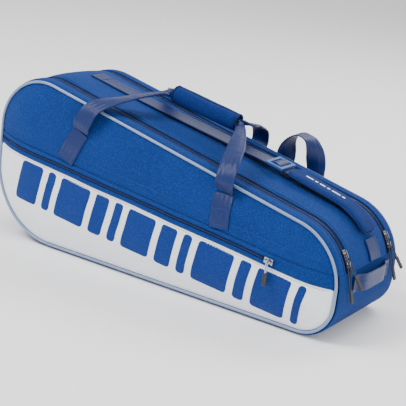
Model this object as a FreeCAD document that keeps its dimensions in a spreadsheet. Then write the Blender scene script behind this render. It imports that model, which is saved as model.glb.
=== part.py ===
import FreeCAD, Part
import math
import os
import Sketcher
from FreeCAD import Placement, Rotation, Vector

# A padded racket bag that stands on its long bottom edge.
# +X runs to the narrow end, -Y is the front, +Z is up, and z = 0 is the base it stands on.
# Every outline is one rounded trapezoid, grown outwards or inwards from the piping line.

SIZES = [
    # side outline at the piping line
    ("left_reach", 378), ("right_reach", 370), ("bottom_rise", 8), ("top_reach", 251.3),
    ("top_slope", 12.22), ("round_bottom_left", 140), ("round_bottom_right", 60),
    ("round_top_right", 105), ("round_top_left", 95), ("least_round", 14),
    # half widths of the strips that make up the rim, from the middle outwards
    ("half_divider", 2), ("half_spine", 69.8), ("half_tape_in", 84.6), ("zip_middle", 85), ("half_tape_out", 85.4),
    ("half_strip", 100),
    ("half_base", 117.6), ("half_piping", 118.4), ("half_wall", 118.6),
    ("half_panel", 121), ("half_outer", 124), ("gap", 0.4), ("seam_height", 123),
    # growth of each skin from the piping line
    ("base_skin", 8), ("base_lining", 4), ("tape_skin", 5), ("tape_lining", 2),
    ("spine_skin", 11), ("spine_lining", 6), ("piping_skin", 4), ("piping_lining", -3.3),
    ("divider_edge", 3.6), ("wall_edge", -3.5),
    # swell of the front and back panels: growth, and distance from the middle plane
    ("panel_edge", -4), ("swell_one", -36), ("swell_two", -75),
    ("depth_one", 138), ("depth_two", 145), ("panel_skin", 3),
    # pocket zip across the front
    ("pocket_zip_height", 151), ("pocket_zip_slope", 6.4), ("pocket_zip_width", 24),
    ("pocket_zip_proud", 1), ("far", 900),
    # carry handles and their wrap
    ("webbing_width", 38), ("webbing_thick", 2.4), ("grip_outer", 18), ("grip_inner", 11),
    ("slit_half", 0.1), ("strand_width", 14), ("strand_thick", 4.5),
    ("strand_offset", 5.5), ("leg_proud", 2.6), ("leg_clear", 0.2),
    # shoulder straps
    ("strap_width", 40), ("strap_thick", 3), ("pad_width", 57), ("pad_thick", 9),
    ("buckle_width", 54), ("buckle_length", 36), ("buckle_thick", 4), ("buckle_bar", 6),
    # zip sliders and pulls
    ("slider_length", 17), ("slider_width", 10.5), ("slider_thick", 2.6), ("crown_length", 13),
    ("crown_width", 2.8), ("crown_rise", 5), ("crown_bar", 1.6), ("cord_size", 2),
    ("tab_length", 24), ("tab_width", 9.5), ("tab_thick", 5),
    # grab handle on the narrow end
    ("grab_half", 72), ("grab_sewn", 18), ("grab_low", 84), ("grab_high", 116),
    ("grab_arch", 9), ("grab_thick", 3),
]

doc = FreeCAD.newDocument("RacketBag")
sheet = doc.addObject("Spreadsheet::Sheet", "Sizes")
for row, (alias, value) in enumerate(SIZES, start=1):
    sheet.set("A%d" % row, alias)
    sheet.set("B%d" % row, str(value))
    sheet.setAlias("B%d" % row, alias)
doc.recompute()
pieces = []


def size(alias):
    return float(sheet.get(alias))


SLOPE = math.radians(size("top_slope"))
DOWN_TOP = Vector(math.cos(SLOPE), 0, -math.sin(SLOPE))
TOP_NORMAL = Vector(math.sin(SLOPE), 0, math.cos(SLOPE))
FRONT, BACK = -1, 1


def on_top(x, grow, y=0.0):
    """Point above the sloping top edge, 'grow' outside the piping line."""
    return Vector(x, y, (size("top_reach") + grow - x * math.sin(SLOPE)) / math.cos(SLOPE))


# ---------------------------------------------------------------- sketches and features

def new_body(label):
    body = doc.addObject("PartDesign::Body", label)
    body.Label = label
    return body


def plane_sketch(body, name, role, offset="0"):
    plane = [item for item in body.Origin.OriginFeatures if item.Role == role][0]
    sketch = body.newObject("Sketcher::SketchObject", name)
    sketch.AttachmentSupport = [(plane, "")]
    sketch.MapMode = "FlatFace"
    sketch.setExpression("AttachmentOffset.Base.z", offset)
    return sketch


def hold(sketch, name, kind, where, value, expression):
    """Add a named size to the sketch and bind it to the sheet."""
    index = sketch.addConstraint(Sketcher.Constraint(kind, *where, value))
    sketch.renameConstraint(index, name)
    sketch.setExpression("Constraints." + name, expression)


def rounded_trapezoid(sketch, grow):
    """The side outline, grown by the cell 'grow': four lines and four tangent arcs."""
    out = size(grow)
    left, right = -size("left_reach") - out, size("right_reach") + out
    low = size("bottom_rise") - out
    corners = [Vector(left, low, 0), Vector(right, low, 0)]
    corners += [Vector(p.x, p.z, 0) for p in (on_top(right, out), on_top(left, out))]
    names = ["round_bottom_left", "round_bottom_right", "round_top_right", "round_top_left"]
    arcs = []
    for index, corner in enumerate(corners):
        radius = max(size(names[index]) + out, size("least_round"))
        back = (corners[index - 1] - corner).normalize()
        ahead = (corners[(index + 1) % 4] - corner).normalize()
        half = back.getAngle(ahead) / 2
        reach = radius / math.tan(half)
        middle = corner + (back + ahead).normalize() * (radius / math.sin(half))
        first, last = corner + back * reach, corner + ahead * reach
        start = math.atan2(first.y - middle.y, first.x - middle.x)
        end = math.atan2(last.y - middle.y, last.x - middle.x)
        circle = Part.Circle(middle, Vector(0, 0, 1), radius)
        arcs.append((Part.ArcOfCircle(circle, start, end), first, last))
    arc = [sketch.addGeometry(item[0], False) for item in arcs]
    line = [sketch.addGeometry(Part.LineSegment(arcs[i][2], arcs[(i + 1) % 4][1]), False)
            for i in range(4)]
    for i in range(4):
        sketch.addConstraint(Sketcher.Constraint("Tangent", arc[i], 2, line[i], 1))
        sketch.addConstraint(Sketcher.Constraint("Tangent", line[i], 2, arc[(i + 1) % 4], 1))
        radius = max(size(names[i]) + out, size("least_round"))
        hold(sketch, names[i], "Radius", (arc[i],), radius,
             "max(Sizes.%s + Sizes.%s; Sizes.least_round)" % (names[i], grow))
    sketch.addConstraint(Sketcher.Constraint("Horizontal", line[0]))
    sketch.addConstraint(Sketcher.Constraint("Vertical", line[1]))
    sketch.addConstraint(Sketcher.Constraint("Vertical", line[3]))
    hold(sketch, "low", "DistanceY", (-1, 1, line[0], 1), low,
         "Sizes.bottom_rise - Sizes.%s" % grow)
    hold(sketch, "right", "DistanceX", (-1, 1, line[1], 1), right,
         "Sizes.right_reach + Sizes.%s" % grow)
    hold(sketch, "left", "DistanceX", (line[3], 1, -1, 1), -left,
         "Sizes.left_reach + Sizes.%s" % grow)
    hold(sketch, "top", "Distance", (-1, 1, line[2]), size("top_reach") + out,
         "Sizes.top_reach + Sizes.%s" % grow)
    slope = math.pi - SLOPE
    hold(sketch, "slope", "Angle", (line[2],), slope, "180 deg - Sizes.top_slope * 1 deg")


def rectangle(sketch, sides):
    """A rectangle from (value, expression) pairs for left, low, right and high."""
    (left, _), (low, _), (right, _), (high, _) = sides
    points = [Vector(left, low, 0), Vector(right, low, 0), Vector(right, high, 0),
              Vector(left, high, 0)]
    first = sketch.GeometryCount
    for i in range(4):
        sketch.addGeometry(Part.LineSegment(points[i], points[(i + 1) % 4]), False)
    for i in range(4):
        sketch.addConstraint(
            Sketcher.Constraint("Coincident", first + i, 2, first + (i + 1) % 4, 1))
        kind = "Horizontal" if i % 2 == 0 else "Vertical"
        sketch.addConstraint(Sketcher.Constraint(kind, first + i))
    names = ["left", "low", "right", "high"]
    places = [("DistanceX", first), ("DistanceY", first), ("DistanceX", first + 2),
              ("DistanceY", first + 2)]
    for name, (kind, line), (value, expression) in zip(names, places, sides):
        hold(sketch, name + str(first), kind, (-1, 1, line, 1), value, expression)


def centred(alias):
    """(value, expression) pairs for the two ends of a length about zero."""
    half = size(alias) / 2
    return (-half, "-Sizes.%s / 2" % alias), (half, "Sizes.%s / 2" % alias)


def pad(body, sketch, length, midplane=False):
    feature = body.newObject("PartDesign::Pad", body.Name + "Pad")
    feature.Profile = sketch
    feature.setExpression("Length", length)
    feature.Midplane = midplane
    sketch.Visibility = False
    return feature


def plate(label, grow, near, far, side=FRONT):
    """Solid outline between two distances from the middle plane, on one side of it."""
    body = new_body(label)
    start = near if side == FRONT else far
    sketch = plane_sketch(body, label + "Outline", "XZ_Plane", "%d * Sizes.%s" % (-side, start))
    rounded_trapezoid(sketch, grow)
    pad(body, sketch, "Sizes.%s - Sizes.%s" % (far, near))
    return body


def rim(label, skin, lining, near, far, side):
    """Band that follows the outline, between two distances on one side of the middle."""
    return cut(label, plate(label + "_full", skin, near, far, side),
               plate(label + "_core", lining, near, far, side))


def belt(label, skin, lining, half):
    """Band that follows the outline, centred on the middle plane."""
    parts = []
    for suffix, grow in (("_full", skin), ("_core", lining)):
        body = new_body(label + suffix)
        sketch = plane_sketch(body, label + suffix + "Outline", "XZ_Plane")
        rounded_trapezoid(sketch, grow)
        pad(body, sketch, "2 * Sizes.%s" % half, midplane=True)
        parts.append(body)
    return cut(label, *parts)


def cut(label, base, tool):
    result = doc.addObject("Part::Cut", label)
    result.Label = label
    result.Base, result.Tool = base, tool
    return result


def common(label, base, tool):
    result = doc.addObject("Part::Common", label)
    result.Label = label
    result.Base, result.Tool = base, tool
    return result


def block(name, length, width, height, place, turn=None):
    """Box with its size bound to the sheet. place and turn are expressions."""
    box = doc.addObject("Part::Box", name)
    box.Label = name
    for side, text in zip(("Length", "Width", "Height"), (length, width, height)):
        box.setExpression(side, text)
    if turn:
        box.Placement = Placement(Vector(), Rotation(Vector(0, 1, 0), 1))
        box.setExpression("Placement.Rotation.Angle", turn)
    for axis, text in zip("xyz", place):
        box.setExpression("Placement.Base." + axis, text)
    return box


def below_seam(name, lift="0"):
    """Everything under the end seams."""
    return block(name, "2 * Sizes.far", "2 * Sizes.far", "Sizes.far",
                 ("-Sizes.far", "-Sizes.far", "Sizes.seam_height - Sizes.far + " + lift))


def keep(piece):
    pieces.append(piece)
    return piece


def shape_piece(label, shape):
    """A sub-part whose form is computed here from the sheet's sizes."""
    feature = doc.addObject("Part::Feature", label)
    feature.Label = label
    feature.Shape = shape
    return keep(feature)


# ---------------------------------------------------------------- rim of the bag

def base_and_spine():
    base = belt("base_band", "base_skin", "base_lining", "half_base")
    keep(common("base_gusset", base, below_seam("base_side", "-Sizes.gap")))
    spine = belt("spine_band", "spine_skin", "spine_lining", "half_spine")
    keep(cut("spine_gusset", spine, below_seam("spine_side")))
    keep(divider())


def divider():
    body = new_body("divider_panel")
    sketch = plane_sketch(body, "DividerOutline", "XZ_Plane")
    rounded_trapezoid(sketch, "divider_edge")
    pad(body, sketch, "2 * Sizes.half_divider", midplane=True)
    return body


def zip_rim(side, word):
    """Inner tape on the spine, outer tape and strip on the cover, and the piping."""
    strips = [("_zip_inner_tape", "half_spine", "half_tape_in"),
              ("_zip_outer_tape", "half_tape_out", "half_strip"),
              ("_top_strip", "half_strip", "half_piping")]
    for suffix, near, far in strips:
        label = word + suffix
        band = rim(label + "_band", "tape_skin", "tape_lining", near, far, side)
        keep(cut(label, band, below_seam(label + "_under")))
    keep(rim(word + "_piping", "piping_skin", "piping_lining", "half_piping", "half_outer", side))


# ---------------------------------------------------------------- swollen panels

def swell(label, side, proud, deeper):
    """Frustum-like swell of a panel; 'proud' lifts it and 'deeper' thins it (cells or 0)."""
    body = new_body(label)
    levels = [("panel_edge", "half_panel"), ("swell_one", "depth_one"), ("swell_two", "depth_two")]
    sketches = []
    for index, (grow, depth) in enumerate(levels):
        offset = "%d * (Sizes.%s + %s - %s)" % (-side, depth, proud if index else "0",
                                                 deeper if index else "0")
        sketch = plane_sketch(body, "%sLevel%d" % (label, index), "XZ_Plane", offset)
        rounded_trapezoid(sketch, grow)
        sketch.Visibility = False
        sketches.append(sketch)
    loft = body.newObject("PartDesign::AdditiveLoft", label + "Loft")
    loft.Profile = sketches[0]
    loft.Sections = sketches[1:]
    loft.Ruled = True
    body.Tip = loft
    return body


def shell(label, side, proud="0"):
    outer = swell(label + "_outer", side, proud, "0")
    inner = swell(label + "_inner", side, "0", "Sizes.panel_skin")
    return cut(label, outer, inner)


def zip_band(name, lift, height):
    """Tilted slab along the pocket zip line, from 'lift' above it upwards."""
    turn = "Sizes.pocket_zip_slope"
    return block(name, "2 * Sizes.far", "2 * Sizes.far", height,
                 ("-Sizes.far * cos(Sizes.pocket_zip_slope) + (%s) * sin(Sizes.pocket_zip_slope)"
                  % lift, "-Sizes.far",
                  "Sizes.pocket_zip_height + Sizes.far * sin(Sizes.pocket_zip_slope)"
                  " + (%s) * cos(Sizes.pocket_zip_slope)" % lift), turn)


def panels(side, word):
    if side == FRONT:
        keep(plate("front_pocket_back", "wall_edge", "half_wall", "half_panel", side))
    upper = zip_band(word + "_upper_side", "Sizes.pocket_zip_width / 2", "Sizes.far")
    lower = zip_band(word + "_lower_side", "-Sizes.pocket_zip_width / 2 - Sizes.far", "Sizes.far")
    middle = zip_band(word + "_zip_side", "-Sizes.pocket_zip_width / 2", "Sizes.pocket_zip_width")
    keep(common(word + "_upper_panel", shell(word + "_skin_a", side), upper))
    keep(common(word + "_lower_panel", shell(word + "_skin_b", side), lower))
    name = "front_pocket_zip" if side == FRONT else "back_seam_band"
    keep(common(name, shell(word + "_skin_c", side, "Sizes.pocket_zip_proud"), middle))


base_and_spine()
for side, word in ((FRONT, "front"), (BACK, "back")):
    zip_rim(side, word)
    panels(side, word)


# ---------------------------------------------------------------- webbing

def sewn_ends(side, word, legs):
    """Webbing sewn flat on a panel: a thin skin over the swell, cut to each leg's width."""
    solids = []
    for index, (foot_x, foot_z, head_x, head_z) in enumerate(legs):
        skin = cut("%s_leg_skin_%d" % (word, index),
                   swell("%s_leg_over_%d" % (word, index), side, "Sizes.leg_proud", "0"),
                   swell("%s_leg_under_%d" % (word, index), side, "Sizes.leg_clear", "0"))
        lean = math.degrees(math.atan2(head_x - foot_x, head_z - foot_z))
        leg = block("%s_leg_%d" % (word, index), "Sizes.webbing_width", "2 * Sizes.far",
                    "%.2f" % math.hypot(head_x - foot_x, head_z - foot_z),
                    ("%.2f - Sizes.webbing_width / 2 * cos(%.3f)" % (foot_x, lean), "-Sizes.far",
                     "%.2f + Sizes.webbing_width / 2 * sin(%.3f)" % (foot_z, lean)),
                    "%.3f deg" % lean)
        solids.append(common("%s_leg_sewn_%d" % (word, index), skin, leg))
    both = doc.addObject("Part::Compound", word + "_handle_sewn_ends")
    both.Label = word + "_handle_sewn_ends"
    both.Links = solids
    keep(both)


def ribbon(stations):
    """Band through stations of (centre, width direction, normal, width, thickness)."""
    wires = []
    for centre, across, normal, width, thick in stations:
        across = Vector(across).normalize()
        normal = Vector(normal).normalize()
        side, lift = across * (width / 2), normal * (thick / 2)
        corners = [centre - side - lift, centre + side - lift, centre + side + lift,
                   centre - side + lift]
        wires.append(Part.makePolygon(corners + corners[:1]))
    return Part.makeLoft(wires, True, True)


def mirror_point(point, side):
    """Points are written for the front (-Y); the back is their mirror."""
    return Vector(point.x, -side * point.y, point.z)


def handle_loop(side, word, left, right):
    """Free webbing of one carry handle, from its sewn heads to the ends of the wrap."""
    flat, narrow = size("webbing_width"), size("strand_width")
    thin, thick = size("webbing_thick"), size("strand_thick")
    shares = [0, 0.1, 0.3, 0.6, 0.9, 1]
    halves = []
    for route in (left, right):
        stations = []
        for index, (point, normal) in enumerate(route):
            share = shares[index]
            centre = mirror_point(Vector(point), side)
            facing = mirror_point(Vector(normal), side)
            nearby = Vector(route[min(index + 1, len(route) - 1)][0])
            before = Vector(route[max(index - 1, 0)][0])
            ahead = mirror_point(nearby - before, side)
            if index == len(route) - 1:
                ahead = GRIP_RIGHT - GRIP_LEFT
                if point[0] < 0:
                    ahead = -ahead
            across = ahead.cross(facing)
            stations.append((centre, across, across.cross(ahead),
                             flat + (narrow - flat) * share, thin + (thick - thin) * share))
        halves.append(ribbon(stations))
    shape_piece(word + "_handle_webbing", Part.makeCompound(halves))


def wrap_frame():
    """Middle and direction of the grip."""
    ends = GRIP_LEFT, GRIP_RIGHT
    return (ends[0] + ends[1]) / 2, (ends[1] - ends[0]).normalize()


def handle_wrap(side, word):
    """Half of the padded sleeve and the folded strand inside it."""
    middle, along = wrap_frame()
    half = (GRIP_RIGHT - GRIP_LEFT).Length / 2
    start = middle - along * half
    outer = Part.makeCylinder(size("grip_outer"), 2 * half, start, along)
    inner = Part.makeCylinder(size("grip_inner"), 2 * half, start, along)
    big = size("far")
    slit = size("gap") / 2 + size("slit_half")
    room = Part.makeBox(big, big, big, Vector(-big / 2, slit if side == BACK else -slit - big, 0))
    shape_piece(word + "_handle_wrap", outer.cut(inner).common(room))
    across = Vector(0, 1, 0)
    offset = across * (side * size("strand_offset"))
    up = across.cross(along)
    strand = ribbon([(end + offset, up, across, size("strand_width"), size("strand_thick"))
                     for end in (start, start + along * 2 * half)])
    shape_piece(word + "_handle_strand", strand)


GRIP_LEFT, GRIP_RIGHT = Vector(-66, 0, 331), Vector(74, 0, 306)
LEFT_LEG = (-201, 190, -173, 250)
RIGHT_LEG = (145, 151, 139, 211)
BACK_RIGHT_LEG = (50, 172, 50, 232)
OUT, UP, LEAN = (0, -1, 0), (0, 0, 1), (0, -1, 1)
LEFT_ROUTE = [((-173, -144.5, 253), OUT), ((-167, -147, 272), OUT), ((-152, -134, 301), LEAN),
              ((-120, -82, 318), UP), ((-86, -24, 330), UP), ((-68, -5.5, 331.4), OUT)]
RIGHT_ROUTE = [((139, -132.5, 215), OUT), ((142, -141, 236), OUT), ((138, -124, 262), LEAN),
               ((118, -72, 284), UP), ((93, -22, 301), UP), ((76, -5.5, 305.6), OUT)]
BACK_RIGHT_ROUTE = [((50, -134, 236), OUT), ((51, -139, 254), OUT), ((56, -122, 276), LEAN),
                    ((68, -72, 292), UP), ((86, -30, 301), UP), ((77, -5.5, 305.4), OUT)]


def handles():
    sewn_ends(FRONT, "front", [LEFT_LEG, RIGHT_LEG])
    sewn_ends(BACK, "back", [LEFT_LEG, BACK_RIGHT_LEG])
    handle_loop(FRONT, "front", LEFT_ROUTE, RIGHT_ROUTE)
    handle_loop(BACK, "back", LEFT_ROUTE, BACK_RIGHT_ROUTE)
    handle_wrap(FRONT, "front")
    handle_wrap(BACK, "back")


# ---------------------------------------------------------------- shoulder straps

STRAP_LEFT, STRAP_RIGHT = -236, 152
PAD_LEFT, PAD_BEND = 189, 296
STRAP_Y = 12


def spine_point(x, lift):
    return on_top(x, size("spine_skin") + lift, STRAP_Y)


def corner_point(degrees, lift):
    """Point over the rounded top-right corner, measured up from +X."""
    middle = corner_middle()
    reach = size("round_top_right") + size("spine_skin") + lift
    angle = math.radians(degrees)
    return Vector(middle.x + reach * math.cos(angle), STRAP_Y, middle.z + reach * math.sin(angle))


def corner_middle():
    x = size("right_reach") - size("round_top_right")
    return on_top(x, -size("round_top_right"))


def chain(points, width, thick):
    """Ribbon along +X whose width runs along Y."""
    stations = []
    for index, point in enumerate(points):
        ahead = points[min(index + 1, len(points) - 1)] - points[max(index - 1, 0)]
        normal = Vector(0, -1, 0).cross(ahead)
        stations.append((point, (0, 1, 0), normal, width, thick))
    return ribbon(stations)


def top_strap():
    width, thin = size("strap_width"), size("strap_thick")
    half = thin / 2
    gap = size("gap")
    left = [spine_point(-262, half), spine_point(STRAP_LEFT - 1, half)]
    shape_piece("strap_left_anchor", chain(left, width, thin))
    webbing = [spine_point(STRAP_LEFT, half + gap), spine_point(-60, half + 4),
               spine_point(STRAP_RIGHT, half + 11)]
    shape_piece("strap_webbing", chain(webbing, width, thin))
    thick = size("pad_thick")
    pad = [spine_point(PAD_LEFT, thick / 2 + 9), spine_point(PAD_BEND, thick / 2 + 4),
           corner_point(66, thick / 2 + 3.5), corner_point(52, thick / 2 + 3),
           corner_point(38, thick / 2 + 1.5)]
    shape_piece("strap_pad", chain(pad, size("pad_width"), thick))
    stub = [corner_point(36 - 3.7 * step, half + gap / 2) for step in range(6)]
    shape_piece("strap_right_anchor", chain(stub, width, thin))
    buckle_at(spine_point((STRAP_RIGHT + PAD_LEFT) / 2 - 4, 15 + size("buckle_thick") / 2))


def buckle_at(centre):
    """Ladder buckle: a frame with two slots and a bar between them."""
    long, wide, thick = size("buckle_length"), size("buckle_width"), size("buckle_thick")
    bar = size("buckle_bar")
    frame = Part.makeBox(long, wide, thick, Vector(-long / 2, -wide / 2, -thick / 2))
    slot = (long - 3 * bar) / 2
    for start in (-long / 2 + bar, bar / 2):
        hole = Part.makeBox(slot, wide - 2 * bar, 2 * thick,
                            Vector(start, -wide / 2 + bar, -thick))
        frame = frame.cut(hole)
    feature = shape_piece("strap_buckle", frame)
    feature.Placement = Placement(centre, Rotation(DOWN_TOP, Vector(0, 1, 0), TOP_NORMAL, "ZXY"))


# Route of the rear strap's webbing: (place, width direction). It hangs flat behind the back, turns up,
# twists a quarter turn, arches over and comes down flat again beside the edge.
REAR_ROUTE = [((-252, 150, 206), (0, 0, 1)), ((-150, 153, 180), (0, 0, 1)), ((0, 153, 160), (0, 0, 1)),
              ((40, 153, 160), (0, 0, 1)), ((70, 153, 168), (-0.4, 0, 0.9)), ((91, 153, 187), (-0.8, 0, 0.6)),
              ((101, 153, 210), (-1, 0, 0.1)), ((104, 153, 226), (-0.92, -0.4, 0)),
              ((105, 152, 241), (-0.7, -0.7, 0)), ((107, 151, 256), (-0.35, -0.94, 0)),
              ((114, 150, 269), (-0.1, -1, 0)), ((126, 149, 278), (0, -1, 0)), ((140, 148, 279), (0, -1, 0)),
              ((154, 148, 272), (-0.2, -1, 0)), ((163, 149, 258), (-0.5, -0.85, 0)),
              ((168, 151, 242), (-0.8, -0.6, 0)), ((171, 153, 225), (-0.96, -0.25, 0)),
              ((173, 153, 206), (-1, 0, 0)), ((177, 153, 186), (-1, 0, -0.2))]
REAR_PAD = [((186, 156, 164), (1, 0, 0.6)), ((215, 156, 128), (0.6, 0, 1)), ((262, 156, 104), (0.3, 0, 1)),
            ((318, 154, 98), (0, 0, 1))]


def rear_strap():
    """Second strap, which hangs behind the bag with a bight of webbing over the edge."""
    webbing = []
    for index, (place, width) in enumerate(REAR_ROUTE):
        ahead = Vector(REAR_ROUTE[min(index + 1, len(REAR_ROUTE) - 1)][0])
        ahead = (ahead - Vector(REAR_ROUTE[max(index - 1, 0)][0])).normalize()
        across = Vector(width)
        across = across - ahead * across.dot(ahead)
        webbing.append((Vector(place), across, ahead.cross(across), size("webbing_width"),
                        size("strap_thick")))
    shape_piece("rear_strap_webbing", ribbon(webbing))
    pad_stations = [(Vector(place), width, (0, 1, 0), size("pad_width"), size("pad_thick"))
                    for place, width in REAR_PAD]
    shape_piece("rear_strap_pad", ribbon(pad_stations))


def grab_handle():
    """Flat webbing across the narrow end, sewn at both ends and bowed in the middle."""
    body = new_body("end_grab_handle")
    sketch = plane_sketch(body, "GrabBow", "XY_Plane", "Sizes.grab_low")
    end = size("right_reach") + size("base_skin")
    half, sewn, arch = size("grab_half"), size("grab_sewn"), size("grab_arch")
    thick = size("grab_thick")
    near = [(end, -half), (end, sewn - half), (end + arch, 2 * sewn - half),
            (end + arch, half - 2 * sewn), (end, half - sewn), (end, half)]
    far = [(x + thick, y) for x, y in reversed(near)]
    loop = [Vector(x, y, 0) for x, y in near + far]
    for i, point in enumerate(loop):
        sketch.addGeometry(Part.LineSegment(point, loop[(i + 1) % len(loop)]), False)
    for i in range(len(loop)):
        sketch.addConstraint(Sketcher.Constraint("Coincident", i, 2, (i + 1) % len(loop), 1))
    for i, point in enumerate(loop):
        out = "Sizes.right_reach + Sizes.base_skin"
        out += " + Sizes.grab_arch" if point.x - end >= arch else ""
        out += " + Sizes.grab_thick" if i >= len(near) else ""
        hold(sketch, "out%d" % i, "DistanceX", (-1, 1, i, 1), point.x, out)
        sewn_count = round((half - abs(point.y)) / sewn)
        sign = "-" if point.y < 0 else ""
        hold(sketch, "side%d" % i, "DistanceY", (-1, 1, i, 1), point.y,
             "%s(Sizes.grab_half - %d * Sizes.grab_sewn)" % (sign, sewn_count))
    pad(body, sketch, "Sizes.grab_high - Sizes.grab_low")
    keep(body)


# ---------------------------------------------------------------- zip sliders and pulls

def slider(label, place):
    """Top plate of a zip slider with the crown that its pull hangs from."""
    body = new_body(label)
    sketch = plane_sketch(body, label + "Plate", "XY_Plane")
    left, right = centred("slider_length")
    low, high = centred("slider_width")
    rectangle(sketch, (left, low, right, high))
    pad(body, sketch, "Sizes.slider_thick")
    crown = plane_sketch(body, label + "Crown", "XZ_Plane")
    left, right = centred("crown_length")
    base = size("slider_thick")
    top = base + size("crown_rise")
    rectangle(crown, (left, (base, "Sizes.slider_thick"), right,
                      (top, "Sizes.slider_thick + Sizes.crown_rise")))
    bar = size("crown_bar")
    rectangle(crown, ((left[0] + bar, left[1] + " + Sizes.crown_bar"),
                      (base + 0.01, "Sizes.slider_thick + 0.01"),
                      (right[0] - bar, right[1] + " - Sizes.crown_bar"),
                      (top - bar, "Sizes.slider_thick + Sizes.crown_rise - Sizes.crown_bar")))
    pad(body, crown, "Sizes.crown_width", midplane=True).Midplane = True
    body.Placement = place
    keep(body)


# Pull cord of an end zip: down one side, under the crown and back. (sideways, along) in mm.
END_CORD = [(-2.2, 42), (-3.2, 33), (-3.9, 24), (-4.1, 15), (-3.9, 6.5), (-2.7, 0),
            (2.7, 0), (3.9, 6.5), (4.1, 15), (3.9, 24), (3.2, 33), (2.2, 42)]
# Pull cord of the pocket zip: it goes round the crown's bar, from outside to inside.
POCKET_CORD = [(-2.0, 20), (-2.9, 14.5), (-3.1, 9), (-3.05, 4.2), (-3.0, 0.6), (-2.5, -1.75), (-0.95, -2.9),
               (0.95, -2.9), (2.5, -1.75), (3.0, 0.6), (3.05, 4.2), (3.1, 9), (2.9, 14.5), (2.0, 20)]


def tube_along(points, diameter):
    """Round tube on straight runs joined by tangent arcs; prints its tightest bend."""
    runs = [(points[i + 1] - points[i]).Length for i in range(len(points) - 1)]
    edges = []
    start = points[0]
    tightest = None
    for i in range(1, len(points) - 1):
        back = (points[i - 1] - points[i]).normalize()
        ahead = (points[i + 1] - points[i]).normalize()
        turn = math.pi - back.getAngle(ahead)
        cut_back = 0.45 * min(runs[i - 1], runs[i])
        radius = cut_back / math.tan(turn / 2)
        tightest = radius if tightest is None else min(tightest, radius)
        first, last = points[i] + back * cut_back, points[i] + ahead * cut_back
        middle = points[i] + (back + ahead).normalize() * (
            math.hypot(radius, cut_back) - radius)
        edges.append(Part.makeLine(start, first))
        edges.append(Part.Arc(first, middle, last).toShape())
        start = last
    edges.append(Part.makeLine(start, points[-1]))
    path = Part.Wire(edges)
    circle = Part.Circle(points[0], points[1] - points[0], diameter / 2)
    tube = path.makePipeShell([Part.Wire(circle.toShape())], True, False)
    section = math.pi * diameter ** 2 / 4
    print("  cord length %.1f, tightest bend %.1f, volume ratio %.3f" % (
        path.Length, tightest, tube.Volume / (section * path.Length)))
    return tube


def pull(word, hinge, down, sideways, route, flat):
    """Cord loop and moulded tab that hang from a slider's crown; the tab's width lies along flat."""
    points = [hinge + sideways * u + down * v for u, v in route]
    shape_piece(word + "_pull_cord", tube_along(points, size("cord_size")))
    length, width, thick = size("tab_length"), size("tab_width"), size("tab_thick")
    body = new_body(word + "_pull_tab")
    sketch = plane_sketch(body, word + "TabFace", "XY_Plane")
    left, right = centred("tab_width")
    rectangle(sketch, (left, (0, "0"), right, (length, "Sizes.tab_length")))
    pad(body, sketch, "Sizes.tab_thick", midplane=True)
    turn = Rotation(flat, down, flat.cross(down), "ZXY")
    body.Placement = Placement(hinge + down * route[0][1], turn)
    keep(body)


def end_zip(side, word, which, degrees, droop, lean):
    """One slider on the rounded top-right corner of the rim, with its pull."""
    angle, drop, tilt = (math.radians(v) for v in (degrees, droop, lean))
    normal = Vector(math.cos(angle), 0, math.sin(angle))
    down = Vector(math.sin(angle), 0, -math.cos(angle))
    across = Vector(0, 1, 0)
    middle = corner_middle() + Vector(0, side * size("zip_middle"), 0)
    reach = size("round_top_right") + size("tape_skin") + size("gap")
    place = middle + normal * reach
    slider("%s_zip_slider_%s" % (word, which), Placement(place, Rotation(down, across, normal, "ZXY")))
    hinge = place + normal * (size("slider_thick") + (size("crown_rise") - size("crown_bar")) / 2)
    hang = down * math.cos(drop) - normal * math.sin(drop)
    sideways = across * math.cos(tilt) - hang * math.sin(tilt) * side
    hang = hang * math.cos(tilt) + across * math.sin(tilt) * side
    pull("%s_%s" % (word, which), hinge, hang, sideways, END_CORD, sideways)


def pocket_zip():
    surface = size("depth_two") + size("pocket_zip_proud") + size("gap")
    x = 252
    z = size("pocket_zip_height") - x * math.tan(math.radians(size("pocket_zip_slope")))
    slope = math.radians(size("pocket_zip_slope"))
    along = Vector(math.cos(slope), 0, -math.sin(slope))
    out = Vector(0, -1, 0)
    place = Vector(x, -surface, z)
    slider("pocket_zip_slider", Placement(place, Rotation(along, out.cross(along), out, "ZXY")))
    bar = size("slider_thick") + size("crown_rise") - size("crown_bar") / 2
    hinge = place + out * bar
    pull("pocket", hinge, Vector(0, 0, -1), Vector(0, 1, 0), POCKET_CORD, Vector(1, 0, 0))


def sliders():
    for side, word in ((FRONT, "front"), (BACK, "back")):
        end_zip(side, word, "upper", 32, -5, 0)
        end_zip(side, word, "lower", 22.5, 5, 5)
    pocket_zip()


handles()
top_strap()
rear_strap()
grab_handle()
sliders()


# ---------------------------------------------------------------- check and write

def write_pieces():
    doc.recompute()
    for item in doc.Objects:
        bad = [state for state in item.State if state in ("Invalid", "Error")]
        if bad:
            raise RuntimeError("%s: %s" % (item.Label, bad))
    os.makedirs("parts", exist_ok=True)
    for piece in pieces:
        if piece.Shape.isNull() or not piece.Shape.isValid():
            raise RuntimeError("no valid shape: " + piece.Label)
        piece.Shape.exportStep("parts/%s.step" % piece.Label)
        box = piece.Shape.BoundBox
        print("%-26s %d solid %9.0f mm3  x %6.1f %6.1f  y %6.1f %6.1f  z %6.1f %6.1f" % (
            piece.Label, len(piece.Shape.Solids), piece.Shape.Volume,
            box.XMin, box.XMax, box.YMin, box.YMax, box.ZMin, box.ZMax))


write_pieces()
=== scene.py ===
import math

import bmesh
import bpy
import numpy as np
from mathutils import Matrix, Vector, noise


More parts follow.
